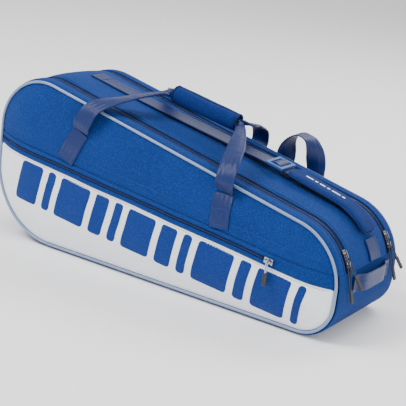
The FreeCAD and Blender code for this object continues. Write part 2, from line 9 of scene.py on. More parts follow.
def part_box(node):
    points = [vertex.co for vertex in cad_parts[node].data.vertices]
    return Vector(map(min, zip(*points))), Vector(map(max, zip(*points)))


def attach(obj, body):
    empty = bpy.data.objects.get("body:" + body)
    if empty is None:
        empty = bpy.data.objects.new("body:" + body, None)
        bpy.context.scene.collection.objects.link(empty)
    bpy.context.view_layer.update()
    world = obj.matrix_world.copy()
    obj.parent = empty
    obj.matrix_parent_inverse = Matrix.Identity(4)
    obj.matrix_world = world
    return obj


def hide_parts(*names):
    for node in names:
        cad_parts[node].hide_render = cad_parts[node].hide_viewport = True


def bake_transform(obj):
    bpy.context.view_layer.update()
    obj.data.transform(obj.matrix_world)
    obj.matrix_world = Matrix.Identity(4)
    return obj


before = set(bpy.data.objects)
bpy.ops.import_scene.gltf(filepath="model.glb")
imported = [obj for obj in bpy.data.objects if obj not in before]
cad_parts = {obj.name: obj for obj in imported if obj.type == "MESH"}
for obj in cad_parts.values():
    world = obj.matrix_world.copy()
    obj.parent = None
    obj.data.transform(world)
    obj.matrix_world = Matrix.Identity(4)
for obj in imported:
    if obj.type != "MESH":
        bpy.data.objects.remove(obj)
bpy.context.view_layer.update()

# Shapes are worked out in millimetres and turned into metres where a mesh is made.
MM = 0.001
FRONT, BACK = -1, 1
SIDES = ((FRONT, "front"), (BACK, "back"))

# ---------------------------------------------------------------- driving sizes of the bag

LEFT, RIGHT, LOW, TOP_REACH = -378, 370, 8, 251.3
TOP_SLOPE = math.radians(12.22)
SEAM_HEIGHT = 123
# rounded corners: radius, then the first and last direction of the arc in degrees
ROUNDS = {"bottom_left": (140, 180, 270), "bottom_right": (60, 270, 360),
          "top_right": (105, 0, 77.78), "top_left": (95, 77.78, 180)}
LINE_STEPS = {"bottom_left": 96, "bottom_right": 5, "top_right": 100, "top_left": 14}
ARC_STEPS = 22
PANEL_EDGE, PANEL_START, PANEL_SWELL, SWELL_REACH = 2.2, 120.6, 24, 84
ZIP_HEIGHT, ZIP_SLOPE, ZIP_HALF = 151, math.radians(6.4), 12
SLIDER_X = 252
SPINE_GROW = 11
STRAP_Y = 12


def corner(name, grow):
    """Middle and radius of one rounded corner of the outline, grown outwards."""
    radius = ROUNDS[name][0] + grow
    x = LEFT - grow + radius if name.endswith("left") else RIGHT + grow - radius
    if name.startswith("bottom"):
        return x, LOW - grow + radius, radius
    return x, (TOP_REACH + grow - radius - x * math.sin(TOP_SLOPE)) / math.cos(TOP_SLOPE), radius


def seam_angle(name, grow):
    """Direction from a corner's middle to the point where the outline meets the end seam."""
    x, z, radius = corner(name, grow)
    rise = math.degrees(math.asin((SEAM_HEIGHT - z) / radius))
    return rise if name.endswith("right") else 180 - rise


def rim(grow, part="all"):
    """Points (x, z) and outward directions along the outline, anticlockwise seen from the front.

    Outlines of any growth have the same number of points, so they pair up."""
    arcs = [(name, first, last) for name, (_, first, last) in ROUNDS.items()]
    left, right = seam_angle("bottom_left", grow), seam_angle("top_right", grow)
    if part == "upper":
        arcs = [("top_right", right, arcs[2][2]), arcs[3], ("bottom_left", 180, left)]
    if part == "lower":
        arcs = [("bottom_left", left, 270), arcs[1], ("top_right", 0, right)]
    points, outward = [], []
    for index, (name, first, last) in enumerate(arcs):
        x, z, radius = corner(name, grow)
        for angle in np.radians(np.linspace(first, last, ARC_STEPS)):
            outward.append((math.cos(angle), math.sin(angle)))
            points.append((x + radius * outward[-1][0], z + radius * outward[-1][1]))
        if part != "all" and index == len(arcs) - 1:
            break
        after, turn, _ = arcs[(index + 1) % len(arcs)]
        x, z, radius = corner(after, grow)
        goal = np.array((x + radius * math.cos(math.radians(turn)), z + radius * math.sin(math.radians(turn))))
        start = np.array(points[-1])
        for share in np.linspace(0, 1, LINE_STEPS[name] + 2)[1:-1]:
            outward.append(outward[-1])
            points.append(tuple(start + (goal - start) * share))
    return np.array(points), np.array(outward)


def inside(x, z):
    """How far inside the piping line a point lies."""
    depth = np.minimum.reduce([x - LEFT, RIGHT - x, z - LOW,
                               TOP_REACH - x * math.sin(TOP_SLOPE) - z * math.cos(TOP_SLOPE)])
    for name, (radius, first, last) in ROUNDS.items():
        middle_x, middle_z, _ = corner(name, 0)
        angle = np.degrees(np.arctan2(z - middle_z, x - middle_x)) % 360
        around = (angle >= first) & (angle <= (last if last != 360 else 361))
        depth = np.where(around, radius - np.hypot(x - middle_x, z - middle_z), depth)
    return depth


def edge_height(x, grow, top):
    """Height of the outline's upper or lower edge at x."""
    word = "top" if top else "bottom"
    sign = 1 if top else -1
    if top:
        height = (TOP_REACH + grow - x * math.sin(TOP_SLOPE)) / math.cos(TOP_SLOPE)
    else:
        height = np.full_like(x, LOW - grow)
    for end, way in (("left", -1), ("right", 1)):
        middle_x, middle_z, radius = corner("%s_%s" % (word, end), grow)
        first = math.sin(TOP_SLOPE) * radius if top else 0
        reach = (x - middle_x - first) * way > 0
        arc = middle_z + sign * np.sqrt(np.clip(radius ** 2 - (x - middle_x) ** 2, 0, None))
        height = np.where(reach, arc, height)
    return height


def zip_line(x, above):
    return ZIP_HEIGHT - x * math.tan(ZIP_SLOPE) + above / math.cos(ZIP_SLOPE)


def ripple(x, z, seed):
    """Soft unevenness of stuffed cloth, about one millimetre either way."""
    broad = noise.noise(Vector((x / 95, z / 70, seed)))
    folds = noise.noise(Vector(((x + 0.5 * z) / 46, z / 24, seed + 7)))
    return broad + 0.6 * folds


def panel_depth(x, z, side):
    """Distance of the front or back panel's face from the middle plane."""
    x, z = np.asarray(x, float), np.asarray(z, float)
    depth = inside(x, z)
    share = np.clip((depth - PANEL_EDGE) / SWELL_REACH, 0, 1)
    swell = PANEL_SWELL * (1 - (1 - share) ** 2.3)
    uneven = np.vectorize(lambda a, b: ripple(a, b, 3.0 * side))(x, z)
    return PANEL_START + swell + 2.2 * uneven * np.clip(depth / 40, 0, 1)


# ---------------------------------------------------------------- node materials

def new_material(name, colour, rough, sheen=0.0, sheen_tint=(1, 1, 1), metal=0.0, coat=0.0):
    material = bpy.data.materials.new(name)
    material.use_nodes = True
    shader = material.node_tree.nodes["Principled BSDF"]
    shader.inputs["Base Color"].default_value = (*colour, 1)
    shader.inputs["Roughness"].default_value = rough
    shader.inputs["Metallic"].default_value = metal
    shader.inputs["Sheen Weight"].default_value = sheen
    shader.inputs["Sheen Roughness"].default_value = 0.4
    shader.inputs["Sheen Tint"].default_value = (*sheen_tint, 1)
    shader.inputs["Coat Weight"].default_value = coat
    return material, material.node_tree, shader


def math_node(tree, operation, first, second=None):
    node = tree.nodes.new("ShaderNodeMath")
    node.operation = operation
    for socket, value in zip(node.inputs, (first, second)):
        if isinstance(value, (int, float)):
            socket.default_value = value
        elif value is not None:
            tree.links.new(value, socket)
    return node.outputs[0]


def mix_colour(tree, factor, first, second):
    node = tree.nodes.new("ShaderNodeMix")
    node.data_type = "RGBA"
    tree.links.new(factor, node.inputs["Factor"])
    for key, value in (("A", first), ("B", second)):
        socket = [item for item in node.inputs if item.name == key and item.type == "RGBA"][0]
        if isinstance(value, tuple):
            socket.default_value = (*value, 1)
        else:
            tree.links.new(value, socket)
    return [item for item in node.outputs if item.type == "RGBA"][0]


def noise_node(tree, scale, detail=3.0):
    place = tree.nodes.new("ShaderNodeTexCoord")
    node = tree.nodes.new("ShaderNodeTexNoise")
    node.inputs["Scale"].default_value = scale
    node.inputs["Detail"].default_value = detail
    tree.links.new(place.outputs["Object"], node.inputs["Vector"])
    return node.outputs["Fac"]


def wave(tree, source, axis, length):
    """Sine of one coordinate, from 0 to 1, with the given wave length in metres."""
    split = tree.nodes.new("ShaderNodeSeparateXYZ")
    tree.links.new(source, split.inputs[0])
    turn = math_node(tree, "MULTIPLY", split.outputs[axis], 2 * math.pi / length)
    return math_node(tree, "MULTIPLY_ADD", math_node(tree, "SINE", turn), 0.5)


def bump(tree, shader, height, strength, distance):
    node = tree.nodes.new("ShaderNodeBump")
    node.inputs["Strength"].default_value = strength
    node.inputs["Distance"].default_value = distance
    tree.links.new(height, node.inputs["Height"])
    tree.links.new(node.outputs["Normal"], shader.inputs["Normal"])


def woven(name, colour, dark, thread=0.0011, rough=0.8, sheen=0.03, tint=(0.5, 0.65, 1), strength=0.6):
    """Plain-weave cloth: crossed threads, faint mottling and a slight fade where it is worn."""
    material, tree, shader = new_material(name, colour, rough, sheen, tint)
    shader.inputs["Specular IOR Level"].default_value = 0.16
    place = tree.nodes.new("ShaderNodeTexCoord").outputs["Object"]
    threads = math_node(tree, "ADD", wave(tree, place, 0, thread), wave(tree, place, 2, thread))
    threads = math_node(tree, "ADD", threads, wave(tree, place, 1, thread))
    grain = noise_node(tree, 420)
    height = math_node(tree, "ADD", threads, math_node(tree, "MULTIPLY", grain, 0.8))
    mottle = math_node(tree, "SUBTRACT", noise_node(tree, 9, 4), 0.1)
    cloth = mix_colour(tree, mottle, colour, dark)
    flecks = math_node(tree, "MULTIPLY", math_node(tree, "GREATER_THAN", grain, 0.55), 0.5)
    faded = tuple(min(1.0, 1.5 * channel + 0.006) for channel in colour)
    tree.links.new(mix_colour(tree, flecks, cloth, faded), shader.inputs["Base Color"])
    bump(tree, shader, height, strength, 0.0004)
    return material


def belting(name, colour, dark, light):
    """Smooth seat-belt webbing: fine diagonal ribs along the band, from its UV map, and stretched noise along
    it that gives both bumps and painted sheen, lighter and darker stripes in the base colour.
    """
    material, tree, shader = new_material(name, colour, 0.34, 0.04, light)
    shader.inputs["Specular IOR Level"].default_value = 0.3
    place = tree.nodes.new("ShaderNodeUVMap")
    place.uv_map = "band"
    split = tree.nodes.new("ShaderNodeSeparateXYZ")
    tree.links.new(place.outputs[0], split.inputs[0])
    fold = math_node(tree, "PINGPONG", split.outputs[1], 0.0045)
    run = math_node(tree, "ADD", split.outputs[0], fold)
    ribs = math_node(tree, "SINE", math_node(tree, "MULTIPLY", run, 2 * math.pi / 0.0016))
    stretch = tree.nodes.new("ShaderNodeMapping")
    stretch.inputs["Scale"].default_value = (14, 420, 1)
    tree.links.new(place.outputs[0], stretch.inputs["Vector"])
    ridge_and_sheen_streak = tree.nodes.new("ShaderNodeTexNoise")
    ridge_and_sheen_streak.inputs["Scale"].default_value = 1
    ridge_and_sheen_streak.inputs["Detail"].default_value = 2
    tree.links.new(stretch.outputs[0], ridge_and_sheen_streak.inputs["Vector"])
    # painted sheen: stretched noise sets the base colour between the dark and the full colour in stripes along
    # the band
    base = mix_colour(tree, ridge_and_sheen_streak.outputs["Fac"], dark, colour)
    tree.links.new(base, shader.inputs["Base Color"])
    height = math_node(tree, "ADD", math_node(tree, "MULTIPLY", ribs, 0.5), ridge_and_sheen_streak.outputs["Fac"])
    bump(tree, shader, height, 0.45, 0.0003)
    return material


def moulded(name, colour, rough, scale=260, strength=0.25, metal=0.0, coat=0.0):
    """Moulded or plated part with a fine surface grain and handling marks."""
    material, tree, shader = new_material(name, colour, rough, metal=metal, coat=coat)
    marks = noise_node(tree, 45, 5)
    low = tuple(channel * 0.75 for channel in colour)
    tree.links.new(mix_colour(tree, marks, low, colour), shader.inputs["Base Color"])
    gloss = math_node(tree, "MULTIPLY_ADD", marks, 0.2)
    gloss.node.inputs[2].default_value = max(0.0, rough - 0.1)
    tree.links.new(gloss, shader.inputs["Roughness"])
    bump(tree, shader, noise_node(tree, scale), strength, 0.0002)
    return material


CLOTH = woven("blue_polyester", (0.001, 0.033, 0.185), (0.0008, 0.02, 0.128))
PAD_CLOTH = woven("pad_cloth", (0.0008, 0.021, 0.135), (0.0006, 0.012, 0.09), thread=0.0014)
WHITE = woven("white_coated", (0.83, 0.85, 0.9), (0.77, 0.8, 0.87), thread=0.0016, rough=0.55, sheen=0.0,
              strength=0.18)
PRINT = woven("blue_print", (0.001, 0.026, 0.17), (0.0008, 0.021, 0.15), thread=0.0016, rough=0.5, sheen=0.02,
              strength=0.15)
LINING = woven("lining", (0.012, 0.03, 0.09), (0.008, 0.02, 0.06), thread=0.0008)
TAPE = woven("zip_tape", (0.001, 0.009, 0.06), (0.0006, 0.005, 0.036), thread=0.0007, strength=0.7)
BINDING = woven("binding", (0.0008, 0.014, 0.1), (0.0006, 0.009, 0.07), thread=0.0006, rough=0.6)
# the second colour is the dark end of the painted sheen stripes
WEBBING = belting("webbing", (0.0035, 0.02, 0.125), (0.0015, 0.008, 0.06), (0.6, 0.62, 1))
PIPING = moulded("piping", (0.2, 0.28, 0.46), 0.38, coat=0.2)
COIL = moulded("zip_coil", (0.003, 0.018, 0.1), 0.32)
NICKEL = moulded("nickel", (0.42, 0.43, 0.46), 0.25, metal=1.0, strength=0.1)
RUBBER = moulded("pull_rubber", (0.018, 0.018, 0.022), 0.5)
DARK_CORD = moulded("pull_cord_dark", (0.02, 0.03, 0.06), 0.6, scale=900, strength=0.8)
LIGHT_CORD = moulded("pull_cord_light", (0.42, 0.47, 0.6), 0.55, scale=900, strength=0.8)
BUCKLE = moulded("buckle_plastic", (0.01, 0.09, 0.36), 0.34, coat=0.2)
THREAD = moulded("thread", (0.006, 0.045, 0.22), 0.6, scale=1200, strength=0.6)
MARK = moulded("white_mark", (0.8, 0.82, 0.86), 0.5)


# ---------------------------------------------------------------- mesh helpers

def mesh_piece(name, points, faces, *materials, pick=None, band=None):
    """Object from points in millimetres. pick gives a face's material; band holds UVs in metres."""
    mesh = bpy.data.meshes.new(name)
    mesh.from_pydata([tuple(float(c) * MM for c in point) for point in points], [], [tuple(f) for f in faces])
    for material in materials:
        mesh.materials.append(material)
    if band is not None:
        layer = mesh.uv_layers.new(name="band")
        for loop in mesh.loops:
            layer.data[loop.index].uv = tuple(float(c) * MM for c in band[loop.vertex_index])
    for polygon in mesh.polygons:
        polygon.use_smooth = True
        if pick:
            polygon.material_index = pick(Vector(polygon.center) / MM)
    shape = bmesh.new()
    shape.from_mesh(mesh)
    bmesh.ops.remove_doubles(shape, verts=shape.verts, dist=1e-6)
    bmesh.ops.recalc_face_normals(shape, faces=shape.faces)
    shape.to_mesh(mesh)
    shape.free()
    mesh.set_sharp_from_angle(angle=math.radians(65))
    piece = bpy.data.objects.new(name, mesh)
    bpy.context.scene.collection.objects.link(piece)
    return piece


def grid_faces(rows, columns, closed_rows=False, closed_columns=False, start=0):
    """Quads between points numbered row by row."""
    faces = []
    for i in range(rows if closed_rows else rows - 1):
        for j in range(columns if closed_columns else columns - 1):
            ring, after = (i + 1) % rows, (j + 1) % columns
            faces.append((start + i * columns + j, start + ring * columns + j,
                          start + ring * columns + after, start + i * columns + after))
    return faces


def settle(piece, body, slot, *nodes):
    """The piece rides on a body and stands for CAD nodes, which are hidden; slot is not used."""
    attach(piece, body)
    return finish_of(piece, slot, *nodes)


def finish_of(piece, slot, *nodes):
    if nodes:
        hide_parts(*nodes)
    return piece


def sweep(name, rings, *materials, pick=None, band=None, ends=True, loop=False):
    """Closed tube through rings of equal length."""
    rings = np.asarray(rings, float)
    count, around = rings.shape[:2]
    faces = grid_faces(count, around, loop, True)
    if ends and not loop:
        faces.append(tuple(range(around)))
        faces.append(tuple(range(count * around - 1, (count - 1) * around - 1, -1)))
    return mesh_piece(name, rings.reshape(-1, 3), faces, *materials, pick=pick, band=band)


def strip(name, section, part, *materials, pick=None, shift=None):
    """Band along the outline with a closed section of (y, growth); shift moves it outwards."""
    columns = []
    for y, grow in section:
        points, outward = rim(grow, part)
        if shift:
            points = points + outward * shift(points, y, grow)[:, None]
        columns.append(np.column_stack([points[:, 0], np.full(len(points), y), points[:, 1]]))
    rings = np.stack(columns, axis=1)
    return sweep(name, rings, *materials, pick=pick, loop=part == "all")


def smooth_path(points, count):
    """Evenly spaced points on a Catmull-Rom curve."""
    points = np.array(points, float)
    padded = np.vstack([2 * points[0] - points[1], points, 2 * points[-1] - points[-2]])
    dense = []
    for i in range(1, len(padded) - 2):
        before, here, after, last = padded[i - 1:i + 3]
        for share in np.linspace(0, 1, 24, endpoint=False):
            dense.append(0.5 * (2 * here + (after - before) * share
                                + (2 * before - 5 * here + 4 * after - last) * share ** 2
                                + (3 * here - before - 3 * after + last) * share ** 3))
    dense.append(points[-1])
    dense = np.array(dense)
    place = dense[:, :3]
    run = np.concatenate([[0], np.cumsum(np.linalg.norm(np.diff(place, axis=0), axis=1))])
    spots = np.linspace(0, run[-1], count)
    return np.column_stack([np.interp(spots, run, dense[:, k]) for k in range(dense.shape[1])]), spots


def unit(vectors):
    return vectors / np.linalg.norm(vectors, axis=-1, keepdims=True)


# Section of webbing: share of the half width, share of the half thickness. Thicker selvedges.
SELVEDGE = [(-1, 0), (-0.97, 0.9), (-0.9, 1.1), (-0.8, 0.95), (-0.4, 1), (0, 1), (0.4, 1), (0.8, 0.95),
            (0.9, 1.1), (0.97, 0.9), (1, 0)]
SELVEDGE += [(a, -b) for a, b in reversed(SELVEDGE[1:-1])]
# Section of a stuffed pad: rounded sides and a crown.
PAD_SECTION = [(math.cos(a) * abs(math.cos(a)) ** -0.55 if abs(math.cos(a)) > 1e-6 else 0.0, math.sin(a))
               for a in np.linspace(math.pi, -math.pi, 36, endpoint=False)]


def band_piece(name, centre, across, normal, width, thick, *materials, section=SELVEDGE, cup=None,
               creased=False):
    """Webbing or pad from stations; widths and thicknesses may change along it, cup bows it."""
    centre, across, normal = (np.asarray(v, float) for v in (centre, across, normal))
    count = len(centre)
    width, thick = np.broadcast_to(width, count), np.broadcast_to(thick, count)
    cup = np.zeros(count) if cup is None else np.broadcast_to(cup, count)
    run = np.concatenate([[0], np.cumsum(np.linalg.norm(np.diff(centre, axis=0), axis=1))])
    rings, band = [], []
    for i in range(count):
        ring = []
        for a, b in section:
            crease = 0.9 * noise.noise(Vector((run[i] / 17, a * 1.4, count + width[i]))) if creased else 0.0
            lift = b * thick[i] / 2 + cup[i] * (1 - a * a) + crease * min(1.0, i / 6, (count - 1 - i) / 6)
            ring.append(centre[i] + across[i] * a * width[i] / 2 + normal[i] * lift)
            band.append((run[i], a * width[i] / 2))
        rings.append(ring)
    return sweep(name, rings, *materials, band=band)


def frames_of(centre, across):
    """Width directions squared to the path, and the face normals."""
    ahead = unit(np.gradient(centre, axis=0))
    across = unit(across - ahead * np.sum(across * ahead, axis=1, keepdims=True))
    return across, np.cross(ahead, across)


def stitches(name, runs, body, length=2.6, pitch=3.8, thick=0.45):
    """Rows of thread stitches: each run is points and normals of the cloth's face, in millimetres."""
    points, faces = [], []
    for path, normals in runs:
        path, normals = np.asarray(path, float), np.asarray(normals, float)
        step = np.linalg.norm(np.diff(path, axis=0), axis=1)
        run = np.concatenate([[0], np.cumsum(step)])
        for start in np.arange(pitch / 2, run[-1] - length, pitch):
            ends = [np.array([np.interp(s, run, path[:, k]) for k in range(3)])
                    for s in (start, start + length)]
            up = unit(np.array([np.interp(start, run, normals[:, k]) for k in range(3)]))
            ahead = unit(ends[1] - ends[0])
            aside = np.cross(up, ahead)
            base = len(points)
            for end, tip in ((0, 0.15), (0.25, 1), (0.75, 1), (1, 0.15)):
                spot = ends[0] + (ends[1] - ends[0]) * end
                for a, b in ((-1, -0.3), (-0.7, 0.8), (0.7, 0.8), (1, -0.3)):
                    points.append(spot + aside * a * thick * (0.4 + 0.6 * tip) + up * b * thick * tip)
            faces += grid_faces(4, 4, False, True, base)
            faces += [(base, base + 1, base + 2, base + 3), (base + 15, base + 14, base + 13, base + 12)]
    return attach(mesh_piece(name, points, faces, THREAD), body)


# ---------------------------------------------------------------- rim strips and piping

def crown(points, y, grow):
    """The spine is full in its middle and pulled down at both seams, with soft dents."""
    if grow < 8:
        return np.zeros(len(points))
    share = min(1.0, abs(y) / 69.8)
    pulled = -3.6 * share ** 2.4
    rise = 1.6 * (1 - share ** 2) * np.clip((points[:, 0] + 90) / 120, 0, 1) * np.clip(
        (330 - points[:, 0]) / 60, 0, 1)
    dents = np.array([noise.noise(Vector((x / 60, y / 38, z / 60))) for x, z in points])
    under_strap = math.exp(-((y - STRAP_Y) / 26) ** 2)
    return pulled + rise + dents * 1.3 * (1 - under_strap) - 0.35


def spine():
    wide = 69.5
    outer = [(y, SPINE_GROW) for y in np.linspace(-wide, wide, 25)]
    section = [(-wide, 6.3)] + outer + [(wide, 6.3)] + [(y, 6.2) for y in np.linspace(50, -50, 5)]
    piece = strip("spine_cloth", section, "upper", CLOTH, LINING,
                  pick=lambda c: 0, shift=crown)
    settle(piece, "bag_body", "blue_polyester", "spine_gusset")
    runs = []
    for y in (-66.3, 66.3):
        points, outward = rim(SPINE_GROW, "upper")
        points = points + outward * (crown(points, y, SPINE_GROW) + 0.2)[:, None]
        runs.append((np.column_stack([points[:, 0], np.full(len(points), y), points[:, 1]]),
                     np.column_stack([outward[:, 0], np.zeros(len(points)), outward[:, 1]])))
    stitches("spine_topstitch", runs, "bag_body")


def base():
    """Bottom and end cloth, in three strips; only the middle one rides on the bag body."""
    def creases(points, y, grow):
        if grow < 6:
            return np.zeros(len(points))
        ends = np.clip((points[:, 1] - 25) / 50, 0, 1)
        return np.array([0.8 * noise.noise(Vector((x / 50, y / 26, z / 30))) - 0.9 for x, z in points]) * ends

    for word, near, far in (("front", -117.4, -50), ("middle", -50, 50), ("back", 50, 117.4)):
        across = np.linspace(near, far, 15)
        section = [(y, 8 - (1.4 if abs(y) > 116 else 0)) for y in across]
        section += [(y, 4.6) for y in reversed(across)]
        piece = strip("base_cloth_" + word, section, "lower", CLOTH, shift=creases)
        if word == "middle":
            settle(piece, "bag_body", "blue_polyester", "base_gusset")
        else:
            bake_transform(piece)
            finish_of(piece, "blue_polyester")


def zip_strips(side, word):
    """Folded edge, tape and coil on the spine's side; coil, tape and cover edge on the other."""
    def mirrored(pairs):
        return [(side * y, grow) for y, grow in pairs]

    inner = [(69.9, 2.4), (69.9, 6.6), (71, 7.1), (73.6, 7), (75, 6), (75.4, 4.7), (79, 4.6), (82, 4.5),
             (83.2, 4.4), (83.4, 2.4)]
    piece = strip(word + "_zip_inner_cloth", mirrored(inner), "upper", CLOTH, TAPE,
                  pick=lambda c: int(abs(c.y) > 75.1))
    settle(piece, "bag_body", "zip_tape", word + "_zip_inner_tape")
    outer = [(86.6, 2.4), (86.8, 4.4), (90, 4.6), (93.6, 4.7), (94, 6), (95.4, 7), (98, 7.2), (99.8, 6.9),
             (99.9, 2.4)]
    piece = strip(word + "_zip_outer_cloth", mirrored(outer), "upper", CLOTH, TAPE,
                  pick=lambda c: int(abs(c.y) < 93.9))
    settle(piece, word + "_cover", "zip_tape", word + "_zip_outer_tape")
    edge = [(100.1, 2.4), (100.1, 6.5), (101.4, 6.1), (104, 7), (109, 7.4), (114, 6.4),
            (117, 4.8), (118.2, 3.4),
            (118.2, 2.4)]
    piece = strip(word + "_cover_edge", mirrored(edge), "upper", CLOTH)
    settle(piece, word + "_cover", "blue_polyester", word + "_top_strip")
    for label, y, grow, body in (("inner", 72.2, 7.15, "bag_body"), ("outer", 97.4, 7.3, word + "_cover"),
                                 ("edge", 103.2, 6.9, word + "_cover")):
        points, outward = rim(grow, "upper")
        run = (np.column_stack([points[:, 0], np.full(len(points), side * y), points[:, 1]]),
               np.column_stack([outward[:, 0], np.zeros(len(points)), outward[:, 1]]))
        stitches("%s_zip_stitch_%s" % (word, label), [run], body)
    points, outward = rim(4.6, "upper")
    path = np.column_stack([points[:, 0], np.full(len(points), side * 85.0), points[:, 1]])
    normal = np.column_stack([outward[:, 0], np.zeros(len(points)), outward[:, 1]])
    for label, way, body in (("inner", -1, "bag_body"), ("outer", 1, word + "_cover")):
        piece = teeth("%s_zip_coil_%s" % (word, label), path, normal, way * side)
        settle(piece, body, "zip_tape")


def teeth(name, path, normals, way):
    """Half of a closed coil zip: one rounded loop of nylon every pitch, reaching over the middle."""
    pitch, reach, height = 2.4, 1.9, 0.95
    run = np.concatenate([[0], np.cumsum(np.linalg.norm(np.diff(path, axis=0), axis=1))])
    offset = 0.0 if way > 0 else pitch / 2
    points, faces = [], []
    for start in np.arange(pitch + offset, run[-1] - pitch, pitch):
        spot, ahead_spot = (np.array([np.interp(s, run, path[:, k]) for k in range(3)])
                            for s in (start, start + 0.4))
        up = unit(np.array([np.interp(start, run, normals[:, k]) for k in range(3)]))
        ahead = unit(ahead_spot - spot)
        aside = np.array((0.0, way, 0.0)) if abs(ahead[1]) < 0.9 and abs(up[1]) < 0.5 else np.cross(
            up, ahead) * way
        base = len(points)
        for a, rise in ((-0.7, 0.75), (-0.1, 1), (1.5, 0.95), (reach, 0.2)):
            for b, c in ((-0.52, 0.0), (-0.4, 1.0), (0.4, 1.0), (0.52, 0.0)):
                points.append(spot + aside * a + ahead * b + up * (c * rise * height))
        faces += grid_faces(4, 4, False, True, base)
        faces += [(base, base + 1, base + 2, base + 3), (base + 15, base + 14, base + 13, base + 12)]
    return mesh_piece(name, points, faces, COIL)


def piping(side, word):
    section = [(side * (121.2 + 2.7 * math.cos(a)), 1.2 + 2.8 * math.sin(a))
               for a in np.linspace(0, 2 * math.pi, 12, endpoint=False)]
    settle(strip(word + "_piping_cord", section, "all", PIPING), word + "_cover", "piping", word + "_piping")


# ---------------------------------------------------------------- front and back panels

def spread(count):
    """Shares from 0 to 1 that lie closer together at both ends."""
    even = np.linspace(-1, 1, count)
    return (1 + 0.45 * even + 0.55 * np.sin(even * math.pi / 2)) / 2


def panel_piece(name, side, x_start, low, high, rows, columns, relief, *materials, pick=None, thick=2.4):
    """Cloth between two edges low(x) and high(x), lofted over the swell and given a thickness."""
    x_values = np.linspace(x_start, RIGHT - PANEL_EDGE, 1500)
    room = x_values[high(x_values) - low(x_values) > -1e-6]
    x = x_start + (room[-1] - x_start) * spread(columns)
    bottom, top = low(x), np.maximum(high(x), low(x))
    z = bottom[None, :] + (top - bottom)[None, :] * np.asarray(rows)[:, None]
    grid_x = np.broadcast_to(x, z.shape)
    depth = panel_depth(grid_x, z, side) + relief(grid_x, z)
    outer = np.stack([grid_x, side * depth, z], axis=-1).reshape(-1, 3)
    inner = np.stack([grid_x, side * (depth - thick), z], axis=-1).reshape(-1, 3)
    count, wide = z.shape
    faces = grid_faces(count, wide)
    faces += [tuple(v + count * wide for v in reversed(face)) for face in grid_faces(count, wide)]
    border = [j for j in range(wide)] + [i * wide + wide - 1 for i in range(1, count)]
    border += [(count - 1) * wide + j for j in range(wide - 2, -1, -1)]
    border += [i * wide for i in range(count - 2, 0, -1)]
    for here, after in zip(border, border[1:] + border[:1]):
        faces.append((here, after, after + count * wide, here + count * wide))
    return mesh_piece(name, np.vstack([outer, inner]), faces, *materials, pick=pick)


def seam_dip(distance, depth=1.5, width=3.0):
    """Cloth pulled down beside a seam, with a small roll next to it."""
    return -depth * np.exp(-(distance / width) ** 2) + 0.5 * np.exp(-((distance - 2.2 * width) / width) ** 2)


def above_zip(x, z):
    return (z - zip_line(x, 0)) * math.cos(ZIP_SLOPE)


# Section of the pocket zip's band: distance above its middle, height.
BAND_PROFILE = [(-12, -0.8), (-11, -0.6), (-10.2, 0.5), (-8.6, 1.3), (-6, 1.3), (-4.2, 1.1),
                (-3.6, 0.1), (-3.2, -1.0),
                (-1, -1.1), (1, -1.1), (3.2, -1.0), (3.6, 0.1), (4.2, 1.2), (6, 1.6), (8.6, 1.5), (10.2, 0.6),
                (11, -0.6), (12, -0.8)]


def band_relief(side):
    away, height = zip(*BAND_PROFILE)

    def relief(x, z):
        v = above_zip(x, z)
        lift = np.interp(v, away, height)
        if side == BACK:
            lift = np.interp(v, (-12, -9, -6, 6, 9, 12), (-0.9, 0.6, 0.2, 0.2, 0.6, -0.9))
        closed = np.clip((x - SLIDER_X) / 12, 0, 1) if side == FRONT else np.zeros_like(x)
        near_edge = np.clip((inside(x, z) - PANEL_EDGE) / 6, 0, 1)
        plain = 0.5 - 1.1 * np.exp(-(v / 1.6) ** 2)
        return np.where(np.abs(v) < 9, lift * (1 - closed) + plain * closed, lift) * near_edge
    return relief


def panels(side, word):
    body = word + "_cover"
    edge = LEFT + PANEL_EDGE

    def top(x):
        return edge_height(x, -PANEL_EDGE, True)

    def bottom(x):
        return edge_height(x, -PANEL_EDGE, False)

    def swollen(x, z):
        v = np.abs(above_zip(x, z)) - ZIP_HALF
        return seam_dip(np.clip(v, 0, None))

    upper = panel_piece(word + "_upper_cloth", side, edge, lambda x: zip_line(x, ZIP_HALF), top,
                        spread(42), 170,
                        swollen, CLOTH)
    settle(upper, body, "blue_polyester", word + "_upper_panel")
    lower = panel_piece(word + "_lower_cloth", side, edge, bottom,
                        lambda x: np.minimum(zip_line(x, -ZIP_HALF), top(x)), spread(46), 170, swollen, WHITE)
    settle(lower, body, "white_panel", word + "_lower_panel")
    rows = [(v + ZIP_HALF) / (2 * ZIP_HALF) for v, _ in BAND_PROFILE]
    zip_band = panel_piece(word + "_zip_band", side, edge, lambda x: zip_line(x, -ZIP_HALF),
                           lambda x: np.minimum(zip_line(x, ZIP_HALF), top(x)), rows, 150, band_relief(side),
                           CLOTH, TAPE, pick=lambda c: int(side == FRONT and c.x < SLIDER_X
                                                           and abs(above_zip(c.x, c.z)) < 3.3))
    settle(zip_band, body, "zip_tape" if side == FRONT else "blue_polyester",
           "front_pocket_zip" if side == FRONT else "back_seam_band")
    panel_stitching(side, word)
    bars(side, word)


def on_panel(x, z, side, lift):
    x, z = np.asarray(x, float), np.asarray(z, float)
    return np.column_stack([x, side * (panel_depth(x, z, side) + lift), z])


def panel_normals(x, z, side):
    """Face direction of the panel's swell."""
    step = 2.0
    slope_x = (panel_depth(x + step, z, side) - panel_depth(x - step, z, side)) / (2 * step)
    slope_z = (panel_depth(x, z + step, side) - panel_depth(x, z - step, side)) / (2 * step)
    return unit(np.column_stack([-slope_x, np.full(len(slope_x), float(side)), -slope_z]))


